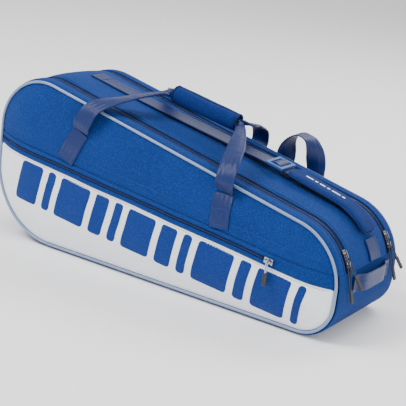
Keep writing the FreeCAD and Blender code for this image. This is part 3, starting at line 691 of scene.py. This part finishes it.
def panel_stitching(side, word):
    """Topstitch beside the band's seams and one row above them, over the pocket's mouth."""
    runs = []
    for v, lift, start, end in ((15.5, -0.1, -366, 352), (-15.5, -0.1, -366, 358), (9.2, 1.2, -368, 352),
                                (-9.2, 1.1, -368, 358), (31, 0.1, -362, 338)):
        x = np.linspace(start, end, 160)
        z = zip_line(x, v)
        runs.append((on_panel(x, z, side, lift), panel_normals(x, z, side)))
    stitches(word + "_panel_stitch", runs, word + "_cover")
    if side == FRONT:
        x = np.linspace(-352, SLIDER_X - 6, 200)
        z = zip_line(x, 0)
        path, normals = on_panel(x, z, side, -1.0), panel_normals(x, z, side)
        for label, way in (("upper", 1), ("lower", -1)):
            piece = pocket_teeth("pocket_coil_" + label, path, normals, way)
            settle(piece, "front_cover", "zip_tape")


def pocket_teeth(name, path, normals, way):
    """Half of the pocket's coil, laid along the band."""
    pitch, height = 2.4, 0.95
    run = np.concatenate([[0], np.cumsum(np.linalg.norm(np.diff(path, axis=0), axis=1))])
    up_slope = np.array((math.sin(ZIP_SLOPE), 0, math.cos(ZIP_SLOPE))) * way
    points, faces = [], []
    for start in np.arange(pitch * (1.5 if way > 0 else 2.0), run[-1] - pitch, pitch):
        spot, ahead_spot = (np.array([np.interp(s, run, path[:, k]) for k in range(3)])
                            for s in (start, start + 0.4))
        up = unit(np.array([np.interp(start, run, normals[:, k]) for k in range(3)]))
        ahead = unit(ahead_spot - spot)
        base = len(points)
        for a, rise in ((-0.7, 0.75), (-0.1, 1), (1.5, 0.95), (1.9, 0.2)):
            for b, c in ((-0.52, 0.0), (-0.4, 1.0), (0.4, 1.0), (0.52, 0.0)):
                points.append(spot + up_slope * a + ahead * b + up * (c * rise * height))
        faces += grid_faces(4, 4, False, True, base)
        faces += [(base, base + 1, base + 2, base + 3), (base + 15, base + 14, base + 13, base + 12)]
    return mesh_piece(name, points, faces, COIL)


# Generic print: slanted bars, (start, width) along the zip's direction.
BARS = [(-318, 52), (-252, 18), (-220, 70), (-136, 30), (-92, 18), (-60, 62), (16, 34), (64, 18), (96, 74),
        (184, 22), (220, 66), (300, 14)]
BAR_TOP, BAR_TALL, BAR_LEAN, BAR_ROUND = -18, 79, 0.2, 7


def bars(side, word):
    """Printed bars on the white panel, thin films that follow its swell."""
    away = np.array([0, 0.3, 1, 2.2, 4, BAR_ROUND])
    rows = np.concatenate([away, np.linspace(BAR_ROUND, BAR_TALL - BAR_ROUND, 14)[1:-1], BAR_TALL - away[::-1]])
    points, faces = [], []
    for start, width in BARS:
        columns = max(4, round(width / 7)) + 1
        for level in (0.45, 0.1):
            for down in rows:
                near = min(down, BAR_TALL - down, BAR_ROUND)
                inset = BAR_ROUND - math.sqrt(max(0.0, BAR_ROUND ** 2 - (BAR_ROUND - near) ** 2))
                along = start + np.linspace(inset, width - inset, columns) + BAR_LEAN * (BAR_TALL - down)
                x = along * math.cos(ZIP_SLOPE)
                z = zip_line(x, BAR_TOP - down)
                points.extend(on_panel(x, z, side, level))
        first = len(points) - 2 * len(rows) * columns
        half = len(rows) * columns
        sheet = grid_faces(len(rows), columns, False, False, first)
        faces += sheet + [tuple(v + half for v in reversed(face)) for face in sheet]
        border = [first + j for j in range(columns)]
        border += [first + i * columns + columns - 1 for i in range(1, len(rows))]
        border += [first + (len(rows) - 1) * columns + j for j in range(columns - 2, -1, -1)]
        border += [first + i * columns for i in range(len(rows) - 2, 0, -1)]
        faces += [(here, after, after + half, here + half)
                  for here, after in zip(border, border[1:] + border[:1])]
    settle(mesh_piece(word + "_print", points, faces, PRINT), word + "_cover", "white_panel")


def inner_walls():
    """Divider between the compartments and the wall behind the front pocket, both quilted."""
    def quilt(x, z):
        return 0.5 * np.abs(np.sin(x / 24)) * np.abs(np.sin((z + 0.3 * x) / 24))

    for name, y, thick, grow, body, node in (
            ("divider_cloth", 1.2, 2.4, 3.4, "bag_body", "divider_panel"),
            ("pocket_back_cloth", -118.9, -1.6, -4, "front_cover", "front_pocket_back")):
        x = LEFT - grow + (RIGHT - LEFT + 2 * grow) * spread(120)
        low, high = edge_height(x, grow, False), edge_height(x, grow, True)
        z = low[None, :] + (high - low)[None, :] * spread(60)[:, None]
        grid_x = np.broadcast_to(x, z.shape)
        outer = np.stack([grid_x, y + quilt(grid_x, z), z], axis=-1).reshape(-1, 3)
        inner = np.stack([grid_x, y - abs(thick) - quilt(grid_x, z), z], axis=-1).reshape(-1, 3)
        count, wide = z.shape
        faces = grid_faces(count, wide)
        faces += [tuple(v + count * wide for v in reversed(face)) for face in grid_faces(count, wide)]
        border = [j for j in range(wide)] + [i * wide + wide - 1 for i in range(1, count)]
        border += [(count - 1) * wide + j for j in range(wide - 2, -1, -1)]
        border += [i * wide for i in range(count - 2, 0, -1)]
        for here, after in zip(border, border[1:] + border[:1]):
            faces.append((here, after, after + count * wide, here + count * wide))
        settle(mesh_piece(name, np.vstack([outer, inner]), faces, LINING), body, "lining", node)


# ---------------------------------------------------------------- carry handles

WEB, WEB_THICK = 38, 2.4
# sewn legs: foot x, foot z, head x, head z
LEGS = {"front": ((-201, 190, -173, 250), (145, 151, 139, 211)),
        "back": ((-201, 190, -173, 250), (50, 172, 50, 232))}
OUT, UP, LEAN = (0, -1, 0), (0, 0, 1), (0, -0.7, 0.7)
LEFT_ROUTE = [((-173, -144.5, 253), OUT), ((-167, -147, 272), OUT), ((-152, -134, 301), LEAN),
              ((-120, -82, 318), UP), ((-86, -24, 330), UP), ((-68, -5.5, 331.4), OUT)]
RIGHT_ROUTE = [((139, -132.5, 215), OUT), ((142, -141, 236), OUT), ((138, -124, 262), LEAN),
               ((118, -72, 284), UP), ((93, -22, 301), UP), ((76, -5.5, 305.6), OUT)]
BACK_RIGHT_ROUTE = [((50, -134, 236), OUT), ((51, -139, 254), OUT), ((56, -122, 276), LEAN),
                    ((68, -72, 292), UP), ((86, -30, 301), UP), ((77, -5.5, 305.4), OUT)]
GRIP_LEFT, GRIP_RIGHT = np.array((-66.0, 0, 331)), np.array((74.0, 0, 306))


def legs(side, word):
    """Webbing sewn flat on the panel, with a box and a cross of stitches on each."""
    shapes, runs = [], []
    for foot_x, foot_z, head_x, head_z in LEGS[word]:
        share = np.linspace(0, 1, 22)
        x, z = foot_x + (head_x - foot_x) * share, foot_z + (head_z - foot_z) * share
        lean = math.atan2(head_x - foot_x, head_z - foot_z)
        rings, band = [], []
        for i in range(len(share)):
            ring = []
            for a, b in SELVEDGE:
                px, pz = x[i] + a * WEB / 2 * math.cos(lean), z[i] - a * WEB / 2 * math.sin(lean)
                ring.append(on_panel([px], [pz], side, 1.5 + b * WEB_THICK / 2)[0])
                band.append((share[i] * 62, a * WEB / 2))
            rings.append(ring)
        shapes.append((rings, band))
        box = [(-14, 6), (14, 6), (14, 34), (-14, 34), (-14, 6), (14, 34), (14, 6), (-14, 34)]
        for (a0, s0), (a1, s1) in zip(box, box[1:]):
            a, s = np.linspace(a0, a1, 12), np.linspace(s0, s1, 12)
            px = foot_x + s * math.sin(lean) + a * math.cos(lean)
            pz = foot_z + s * math.cos(lean) - a * math.sin(lean)
            runs.append((on_panel(px, pz, side, 2.75), panel_normals(px, pz, side)))
    for index, (rings, band) in enumerate(shapes):
        piece = sweep("%s_leg_%d" % (word, index + 1), rings, WEBBING, band=band)
        settle(piece, word + "_cover", "webbing", *([word + "_handle_sewn_ends"] if index == 0 else []))
    stitches(word + "_leg_stitch", runs, word + "_cover")


def handle(side, word):
    """Free webbing from the sewn heads to the wrap, then the strand inside it."""
    along = unit(GRIP_RIGHT - GRIP_LEFT)
    routes = (("left", LEFT_ROUTE), ("right", RIGHT_ROUTE if side == FRONT else BACK_RIGHT_ROUTE))
    for end, route in routes:
        table = np.array([(*point, *facing) for point, facing in route], float)
        table[:, (1, 4)] *= -side
        smooth, run = smooth_path(table, 60)
        centre, facing = smooth[:, :3], smooth[:, 3:]
        ahead = np.gradient(centre, axis=0)
        ahead[-1] = along if end == "left" else -along
        across = unit(np.cross(unit(ahead), facing))
        normal = np.cross(across, unit(ahead))
        share = run / run[-1]
        fold = np.interp(share, (0, 0.25, 0.55, 0.85, 1), (0, 0.02, 0.2, 0.75, 1))
        piece = band_piece("%s_handle_%s" % (word, end), centre, across, normal, WEB - 23 * fold,
                           WEB_THICK + 2.1 * fold, WEBBING, cup=2.2 * np.sin(share * math.pi) * (1 - fold),
                           creased=True)
        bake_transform(piece)
        finish_of(piece, "webbing", *([word + "_handle_webbing"] if end == "left" else []))
    start = GRIP_LEFT + along * 0.5 + np.array((0, side * 5.5, 0))
    length = np.linalg.norm(GRIP_RIGHT - GRIP_LEFT) - 1
    centre = np.array([start + along * length * s for s in np.linspace(0, 1, 12)])
    up = unit(np.cross((0, 1.0, 0), along))
    piece = band_piece(word + "_strand", centre, np.tile(-up, (12, 1)),
                       np.tile((0, 1.0, 0), (12, 1)), 13.6, 4.2,
                       WEBBING)
    settle(piece, word + "_handle", "webbing", word + "_handle_strand")


def wrap(side, word):
    """Half of the padded sleeve: a foam-filled shell with bound ends, closed along a slit."""
    along = unit(GRIP_RIGHT - GRIP_LEFT)
    up = unit(np.cross(along, (0, -1.0, 0)))
    across = np.array((0, 1.0, 0))
    length = np.linalg.norm(GRIP_RIGHT - GRIP_LEFT)
    outer, inner = 17.2, 12.0
    first, last = math.radians(4), math.radians(176)
    section = [(outer * math.sin(a), outer * math.cos(a)) for a in np.linspace(first, last, 18)]
    section += [(inner * math.sin(a), inner * math.cos(a)) for a in np.linspace(last, first, 12)]
    rings = []
    for s in np.linspace(1.0, length - 1.0, 40):
        pinch = 1 - 0.05 * (abs(s / length - 0.5) * 2) ** 6
        middle = GRIP_LEFT + along * s
        rings.append([middle + across * side * a * pinch + up * b * pinch for a, b in section])
    piece = sweep(word + "_wrap_cloth", rings, PAD_CLOTH)
    swell_up(piece, 3.0, 1.2)
    settle(piece, word + "_handle", "grip_cloth", word + "_handle_wrap")
    edges = []
    for s in (1.2, length - 1.2):
        turn = np.linspace(first, last, 20)
        arc = [GRIP_LEFT + along * s + across * side * 14.6 * math.sin(a) + up * 14.6 * math.cos(a)
               for a in turn]
        edges.append(arc if s < 2 else arc[::-1])
    settle(tube(word + "_wrap_binding", edges[0] + edges[1], 2.6, BINDING), word + "_handle", "grip_cloth")


def swell_up(piece, voxel, cap, pressure=4.0):
    """Cloth simulation with inner pressure; no point moves further than cap. Lengths in millimetres."""
    remesh = piece.modifiers.new("even", "REMESH")
    remesh.mode = "VOXEL"
    remesh.voxel_size = voxel * MM
    apply_modifiers(piece)
    rest = np.array([v.co for v in piece.data.vertices])
    cloth = piece.modifiers.new("stuffing", "CLOTH")
    cloth.settings.use_pressure = True
    cloth.settings.uniform_pressure_force = pressure
    cloth.settings.effector_weights.gravity = 0
    cloth.point_cache.frame_end = 20
    scene = bpy.context.scene
    for number in range(1, 21):
        scene.frame_set(number)
    swollen = piece.evaluated_get(bpy.context.evaluated_depsgraph_get()).to_mesh()
    moved = np.array([v.co for v in swollen.vertices]) - rest
    piece.modifiers.clear()
    scene.frame_set(1)
    far = np.linalg.norm(moved, axis=1, keepdims=True)
    moved = moved * np.minimum(1.0, cap * MM / np.maximum(far, 1e-9))
    piece.data.vertices.foreach_set("co", (rest + moved).astype(np.float32).ravel())
    smooth = piece.modifiers.new("soften", "SMOOTH")
    smooth.factor, smooth.iterations = 0.5, 4
    finer = piece.modifiers.new("finer", "SUBSURF")
    finer.levels = finer.render_levels = 1
    apply_modifiers(piece)


def apply_modifiers(piece):
    mesh = bpy.data.meshes.new_from_object(piece.evaluated_get(bpy.context.evaluated_depsgraph_get()))
    piece.modifiers.clear()
    piece.data = mesh
    for polygon in mesh.polygons:
        polygon.use_smooth = True


# ---------------------------------------------------------------- shoulder straps

def top_point(x, lift):
    height = (TOP_REACH + SPINE_GROW + lift - x * math.sin(TOP_SLOPE)) / math.cos(TOP_SLOPE)
    return np.array((x, STRAP_Y, height))


def corner_point(degrees, lift):
    x, z, radius = corner("top_right", SPINE_GROW + lift)
    return np.array((x + radius * math.cos(math.radians(degrees)), STRAP_Y,
                     z + radius * math.sin(math.radians(degrees))))


def tube(name, path, radius, material, around=8, closed=True):
    """Round cord of cloth along a path."""
    path = np.asarray(path, float)
    if closed:
        ahead = unit(np.roll(path, -1, axis=0) - np.roll(path, 1, axis=0))
    else:
        ahead = unit(np.gradient(path, axis=0))
    first = unit(np.cross(ahead, (0.13, 0.31, 0.94)))
    second = np.cross(ahead, first)
    rings = [[spot + radius * (a * math.cos(t) + b * math.sin(t))
              for t in np.linspace(0, 2 * math.pi, around, endpoint=False)]
             for spot, a, b in zip(path, first, second)]
    return sweep(name, rings, material, loop=closed)


def pad_binding(name, centre, across, half, body):
    """Bound edge all round a pad."""
    outline = np.vstack([centre + across * half[:, None], (centre - across * half[:, None])[::-1]])
    settle(tube(name, outline, 1.5, BINDING), body, "pad_cloth")


def flat_band(name, points, count, width, thick, *materials, section=SELVEDGE, cup=0.0, sides=None):
    """Band in the XZ plane whose width runs along Y."""
    centre, run = smooth_path(points, count)
    across = np.tile((0, 1.0, 0), (count, 1))
    across, normal = frames_of(centre, across)
    share = run / run[-1]
    if sides:
        width = width * np.array([sides(s) for s in share])
        thick = thick * np.array([sides(s) ** 0.8 for s in share])
    return band_piece(name, centre, across, -normal, width, thick, *materials, section=section, cup=cup)


def rounded_ends(share):
    """Full in the middle, rounded in plan at both ends."""
    near = min(share, 1 - share) / 0.07
    return math.sqrt(max(0.02, 1 - (1 - min(near, 1.0)) ** 2))


def top_strap():
    piece = flat_band("strap_left_end", [top_point(x, 1.5) for x in (-262, -250, -237)], 12, 40, 3, WEBBING)
    settle(piece, "bag_body", "webbing", "strap_left_anchor")
    points = [top_point(-236, 1.9), top_point(-150, 2.9), top_point(-60, 5.4), top_point(20, 8.2),
              top_point(100, 10.8), top_point(152, 12.4)]
    piece = flat_band("strap_band", points, 90, 40, 2.6, WEBBING, cup=0.5)
    settle(piece, "top_strap_webbing", "webbing", "strap_webbing")
    pad = [top_point(191, 14.4), top_point(225, 13.4), top_point(262, 12), top_point(296, 10.6),
           corner_point(66, 10), corner_point(52, 9.2), corner_point(40, 7.6)]
    piece = flat_band("strap_pad_cloth", pad, 70, 54, 8.4, PAD_CLOTH, section=PAD_SECTION, sides=rounded_ends)
    swell_up(piece, 3.0, 1.6)
    settle(piece, "top_strap_pad", "pad_cloth", "strap_pad")
    centre, run = smooth_path(pad, 70)
    half = 26.6 * np.array([rounded_ends(s) for s in run / run[-1]])
    pad_binding("strap_pad_binding", centre, np.tile((0, 1.0, 0), (70, 1)), half, "top_strap_pad")
    ahead = unit(np.gradient(centre, axis=0))
    face = np.cross((0, 1.0, 0), ahead) * -1
    face *= np.sign(face[:, 2:3])
    pad_marks(centre, face, run)
    tail = [top_point(180, 11.2), top_point(188, 12.2), top_point(200, 13.4)]
    settle(flat_band("strap_pad_tail", tail, 12, 38, 2.2, WEBBING), "top_strap_pad", "webbing")
    loop = [top_point(157.6, 15.9), top_point(160, 19), top_point(166.5, 21), top_point(173, 19),
            top_point(175.4, 16)]
    settle(flat_band("strap_buckle_loop", loop, 40, 37, 1.8, WEBBING), "top_strap_buckle", "webbing")
    # webbing let out between buckle and pad, left in place
    let_out = [top_point(175, 8.2), top_point(181, 7.2), top_point(195, 6.6)]
    piece = flat_band("strap_let_out", let_out, 16, 37, 1.8, WEBBING)
    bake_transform(piece)
    finish_of(piece, "webbing")
    stub = [corner_point(angle, 1.8) for angle in (36, 30, 24, 17.6)]
    piece = flat_band("strap_right_end", stub, 24, 40, 3, WEBBING)
    settle(piece, "bag_body", "webbing", "strap_right_anchor")


def pad_marks(centre, face, run):
    """Small generic dashes printed along the upper half of the pad."""
    points, faces = [], []
    for start, length in ((30, 15), (49, 6), (59, 12), (75, 6), (85, 18), (107, 6)):
        base = len(points)
        for level in (5.9, 4.5):
            for s in np.linspace(start, start + length, 6):
                spot, up = (np.array([np.interp(s, run, v[:, k]) for k in range(3)]) for v in (centre, face))
                for y in (-2.2, 0, 2.2):
                    points.append(spot + up * level + np.array((0, y, 0)))
        sheet = grid_faces(6, 3, start=base)
        faces += sheet + [tuple(v + 18 for v in reversed(f)) for f in sheet]
        border = [0, 1, 2, 5, 8, 11, 14, 17, 16, 15, 12, 9, 6, 3]
        faces += [(base + a, base + b, base + b + 18, base + a + 18)
                  for a, b in zip(border, border[1:] + border[:1])]
    settle(mesh_piece("strap_pad_marks", points, faces, MARK), "top_strap_pad", "pad_cloth")


# Route of the rear strap's webbing, (place, width direction), as in the CAD.
REAR_ROUTE = [((-252, 150, 206), (0, 0, 1)), ((-150, 153, 180), (0, 0, 1)), ((0, 153, 160), (0, 0, 1)),
              ((40, 153, 160), (0, 0, 1)), ((70, 153, 168), (-0.4, 0, 0.9)), ((91, 153, 187), (-0.8, 0, 0.6)),
              ((101, 153, 210), (-1, 0, 0.1)), ((104, 153, 226), (-0.92, -0.4, 0)),
              ((105, 152, 241), (-0.7, -0.7, 0)), ((107, 151, 256), (-0.35, -0.94, 0)),
              ((114, 150, 269), (-0.1, -1, 0)), ((126, 149, 278), (0, -1, 0)), ((140, 148, 279), (0, -1, 0)),
              ((154, 148, 272), (-0.2, -1, 0)), ((163, 149, 258), (-0.5, -0.85, 0)),
              ((168, 151, 242), (-0.8, -0.6, 0)), ((171, 153, 225), (-0.96, -0.25, 0)),
              ((173, 153, 206), (-1, 0, 0)), ((177, 153, 186), (-1, 0, -0.2))]
REAR_PAD = [((186, 156, 164), (1, 0, 0.6)), ((215, 156, 128), (0.6, 0, 1)), ((262, 156, 104), (0.3, 0, 1)),
            ((318, 154, 98), (0, 0, 1))]


def rear_strap():
    table = np.array([(*place, *width) for place, width in REAR_ROUTE], float)
    smooth, _ = smooth_path(table, 150)
    across, normal = frames_of(smooth[:, :3], unit(smooth[:, 3:]))
    piece = band_piece("rear_strap_band", smooth[:, :3], across, normal, 37.5, 2.4, WEBBING, creased=True)
    settle(piece, "rear_strap", "webbing", "rear_strap_webbing")
    table = np.array([(*place, *width) for place, width in REAR_PAD], float)
    smooth, run = smooth_path(table, 50)
    across, normal = frames_of(smooth[:, :3], unit(smooth[:, 3:]))
    shape = np.array([rounded_ends(s) for s in run / run[-1]])
    piece = band_piece("rear_pad_cloth", smooth[:, :3], across, normal, 53 * shape,
                       7.4 * shape ** 0.8, PAD_CLOTH,
                       section=PAD_SECTION)
    swell_up(piece, 3.0, 1.4)
    settle(piece, "rear_strap", "pad_cloth", "rear_strap_pad")
    pad_binding("rear_pad_binding", smooth[:, :3], across, 26.2 * shape, "rear_strap")
    for name, points, widths in (
            ("rear_tail_left", [(-246, 150.2, 204.4), (-262, 147.4, 208.2), (-280, 143.4, 212.2),
                                (-296, 139, 215)], 37),
            ("rear_tail_right", [(308, 153.6, 99), (322, 151, 97.6), (336, 144.6, 96.6),
                                 (350, 136.6, 96)], 34)):
        centre, _ = smooth_path(points, 24)
        tail_across, tail_normal = frames_of(centre, np.tile((0, 0, 1.0), (24, 1)))
        piece = band_piece(name, centre, tail_across, tail_normal, widths, 2.2, WEBBING)
        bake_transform(piece)
        finish_of(piece, "webbing")
    joining = band_piece("rear_pad_tail", *rear_join(), 36, 2.2, WEBBING)
    settle(joining, "rear_strap", "webbing")


def rear_join():
    """Centre, width direction and face of the webbing between the rear strap and its pad."""
    centre, _ = smooth_path([(176.4, 153, 190), (180, 153.6, 176), (188, 155.4, 160)], 16)
    wide = np.linspace((1, 0, 0.18), (0.9, 0, 0.55), 16)
    return (centre, *frames_of(centre, wide))


def grab_handle():
    """Folded webbing across the narrow end, sewn down at both ends."""
    low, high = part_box("end_grab_handle")
    skin, bow = low.x / MM + 1.5, high.x / MM - 1.5
    middle = (low.z + high.z) / 2 / MM
    half = high.y / MM
    points = [(skin, -half + 1, middle), (skin, -half + 17, middle), (bow - 1, -half + 34, middle),
              (bow, 0, middle), (bow - 1, half - 34, middle), (skin, half - 17, middle),
               (skin, half - 1, middle)]
    centre, run = smooth_path(points, 60)
    across, normal = frames_of(centre, np.tile((0, 0, 1.0), (60, 1)))
    piece = band_piece("grab_band", centre, across, normal, 31, 2.8, WEBBING)
    settle(piece, "bag_body", "webbing", "end_grab_handle")


# ---------------------------------------------------------------- zip pulls

END_HINGES = {"upper": (32, -5, 0), "lower": (22.5, 5, 5)}
END_CORD = [(-0.0022, 0.042), (-0.0032, 0.033), (-0.0039, 0.024), (-0.0041, 0.015), (-0.0039, 0.0065),
            (-0.0027, 0.0), (0.0027, 0.0), (0.0039, 0.0065), (0.0041, 0.015), (0.0039, 0.024),
            (0.0032, 0.033), (0.0022, 0.042)]
POCKET_CORD = [(-0.002, 0.02), (-0.0029, 0.0145), (-0.0031, 0.009), (-0.00305, 0.0042), (-0.003, 0.0006),
               (-0.0025, -0.00175), (-0.00095, -0.0029), (0.00095, -0.0029), (0.0025, -0.00175),
               (0.003, 0.0006), (0.00305, 0.0042), (0.0031, 0.009), (0.0029, 0.0145), (0.002, 0.02)]
END_LENGTH, POCKET_LENGTH, CORD_SIZE = 0.0881, 0.0492, 0.002


def pull_cord(name, node, hinge, down, aside, route, material, body):
    """Cord from the tab round the slider's crown and back, as one smooth curve."""
    curve = bpy.data.curves.new(name + "_line", "CURVE")
    curve.dimensions = "3D"
    curve.bevel_depth = CORD_SIZE / 2
    curve.bevel_resolution = 4
    curve.resolution_u = 8
    curve.use_fill_caps = True
    spline = curve.splines.new("NURBS")
    points = [hinge + aside * u + down * v for u, v in route]
    spline.points.add(len(points) - 1)
    for control, point in zip(spline.points, points):
        control.co = (*point, 1)
    spline.order_u = 3
    spline.use_endpoint_u = True
    curve.materials.append(material)
    piece = bpy.data.objects.new(name + "_line", curve)
    bpy.context.scene.collection.objects.link(piece)
    tab = tab_piece(name + "_grip", hinge + down * route[0][1], down,
                    aside if route is END_CORD else Vector((1, 0, 0)))
    settle(piece, body, "pull_cord", node + "_pull_cord")
    settle(tab, body, "pull_rubber", node + "_pull_tab")


def tab_piece(name, top, down, aside):
    """Moulded tab: rounded, waisted, with a raised rim and finger ridges."""
    front = aside.cross(down)
    rings = []
    for share in np.linspace(0, 1, 25):
        ends = math.sqrt(max(0.0, 1 - (abs(share - 0.5) * 2) ** 8))
        wide = 4.7 * (0.84 + 0.16 * abs(share - 0.45) * 2) * (0.55 + 0.45 * ends)
        ridge = 0.3 * math.sin(share * 2 * math.pi * 5) if 0.3 < share < 0.85 else 0.0
        thick = (2.1 + ridge) * (0.6 + 0.4 * ends)
        ring = []
        for angle in np.linspace(0, 2 * math.pi, 20, endpoint=False):
            a, b = math.cos(angle), math.sin(angle)
            a = math.copysign(abs(a) ** 0.6, a)
            b = math.copysign(abs(b) ** 0.5, b) * (1 - 0.18 * (abs(a) < 0.7))
            ring.append((top + down * share * 0.024) / MM + aside * a * wide + front * b * thick)
        rings.append([tuple(point) for point in ring])
    return sweep(name, rings, RUBBER)


def pulls():
    for side, word in SIDES:
        for which, (degrees, droop, lean) in END_HINGES.items():
            angle, drop, tilt = (math.radians(v) for v in (degrees, droop, lean))
            normal = Vector((math.cos(angle), 0, math.sin(angle)))
            slope = Vector((math.sin(angle), 0, -math.cos(angle)))
            across = Vector((0, 1, 0))
            x, z, radius = corner("top_right", 5.4)
            hinge = (Vector((x, side * 85, z)) + normal * (radius + 2.6 + 1.7)) * MM
            hang = slope * math.cos(drop) - normal * math.sin(drop)
            aside = across * math.cos(tilt) - hang * math.sin(tilt) * side
            hang = hang * math.cos(tilt) + across * math.sin(tilt) * side
            pull_cord("%s_%s_cord" % (word, which), "%s_%s" % (word, which), hinge, hang, aside, END_CORD,
                      DARK_CORD, "%s_pull_%s" % (word, which))
    hinge = Vector((SLIDER_X, -146.4 - 6.8, zip_line(SLIDER_X, 0))) * MM
    pull_cord("pocket_cord", "pocket", hinge, Vector((0, 0, -1)), Vector((0, 1, 0)), POCKET_CORD,
              LIGHT_CORD, "pocket_pull")


def hardware():
    """CAD pieces whose shape is right: rounded edges and a better surface."""
    for name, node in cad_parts.items():
        if name.endswith(("slider_upper", "slider_lower", "zip_slider")) or name == "strap_buckle":
            node.data.materials.clear()
            node.data.materials.append(BUCKLE if name == "strap_buckle" else NICKEL)
            edge = node.modifiers.new("soft_edges", "BEVEL")
            edge.width = 0.0009 if name == "strap_buckle" else 0.0004
            edge.segments = 3
            edge.limit_method = "ANGLE"
            edge.angle_limit = math.radians(40)


# ---------------------------------------------------------------- camera, light and floor

def studio():
    scene = bpy.context.scene
    floor = mesh_piece("floor", [(-6000, -6000, -0.4), (6000, -6000, -0.4), (6000, 6000, -0.4),
                                 (-6000, 6000, -0.4)],
                       [(0, 1, 2, 3)], new_material("floor_paper", (0.93, 0.93, 0.94), 0.95)[0])
    world = bpy.data.worlds.new("studio")
    world.use_nodes = True
    world.node_tree.nodes["Background"].inputs["Color"].default_value = (1, 1, 1, 1)
    world.node_tree.nodes["Background"].inputs["Strength"].default_value = 0.9
    scene.world = world
    for name, place, size, power in (("key", (-1.5, -1.8, 3.0), 1.4, 130), ("fill", (2.8, -1.2, 1.6), 1.6, 40),
                                     ("rim", (0.4, 2.4, 2.8), 1.8, 85)):
        light = bpy.data.lights.new(name, "AREA")
        light.size, light.energy = size, power
        lamp = bpy.data.objects.new(name, light)
        lamp.location = place
        lamp.rotation_mode = "QUATERNION"
        lamp.rotation_quaternion = (Vector((0, 0, 0.15)) - Vector(place)).to_track_quat("-Z", "Y")
        scene.collection.objects.link(lamp)
    camera = bpy.data.cameras.new("camera")
    camera.lens, camera.sensor_width = 105, 36
    camera.shift_x, camera.shift_y = 0.0253, -0.0031
    view = bpy.data.objects.new("camera", camera)
    right, up, back = (0.83308, 0.53889, 0.12485), (-0.25288, 0.17029, 0.95238), (0.49197, -0.82499, 0.27814)
    turn = Matrix((right, up, back)).transposed().to_4x4()
    turn.translation = (1.1071, -1.8565, 0.7609)
    view.matrix_world = turn
    scene.collection.objects.link(view)
    scene.camera = view


studio()
pulls()
spine()
base()
for side, word in SIDES:
    zip_strips(side, word)
    piping(side, word)
    panels(side, word)
    legs(side, word)
    handle(side, word)
    wrap(side, word)
inner_walls()
top_strap()
rear_strap()
grab_handle()
hardware()
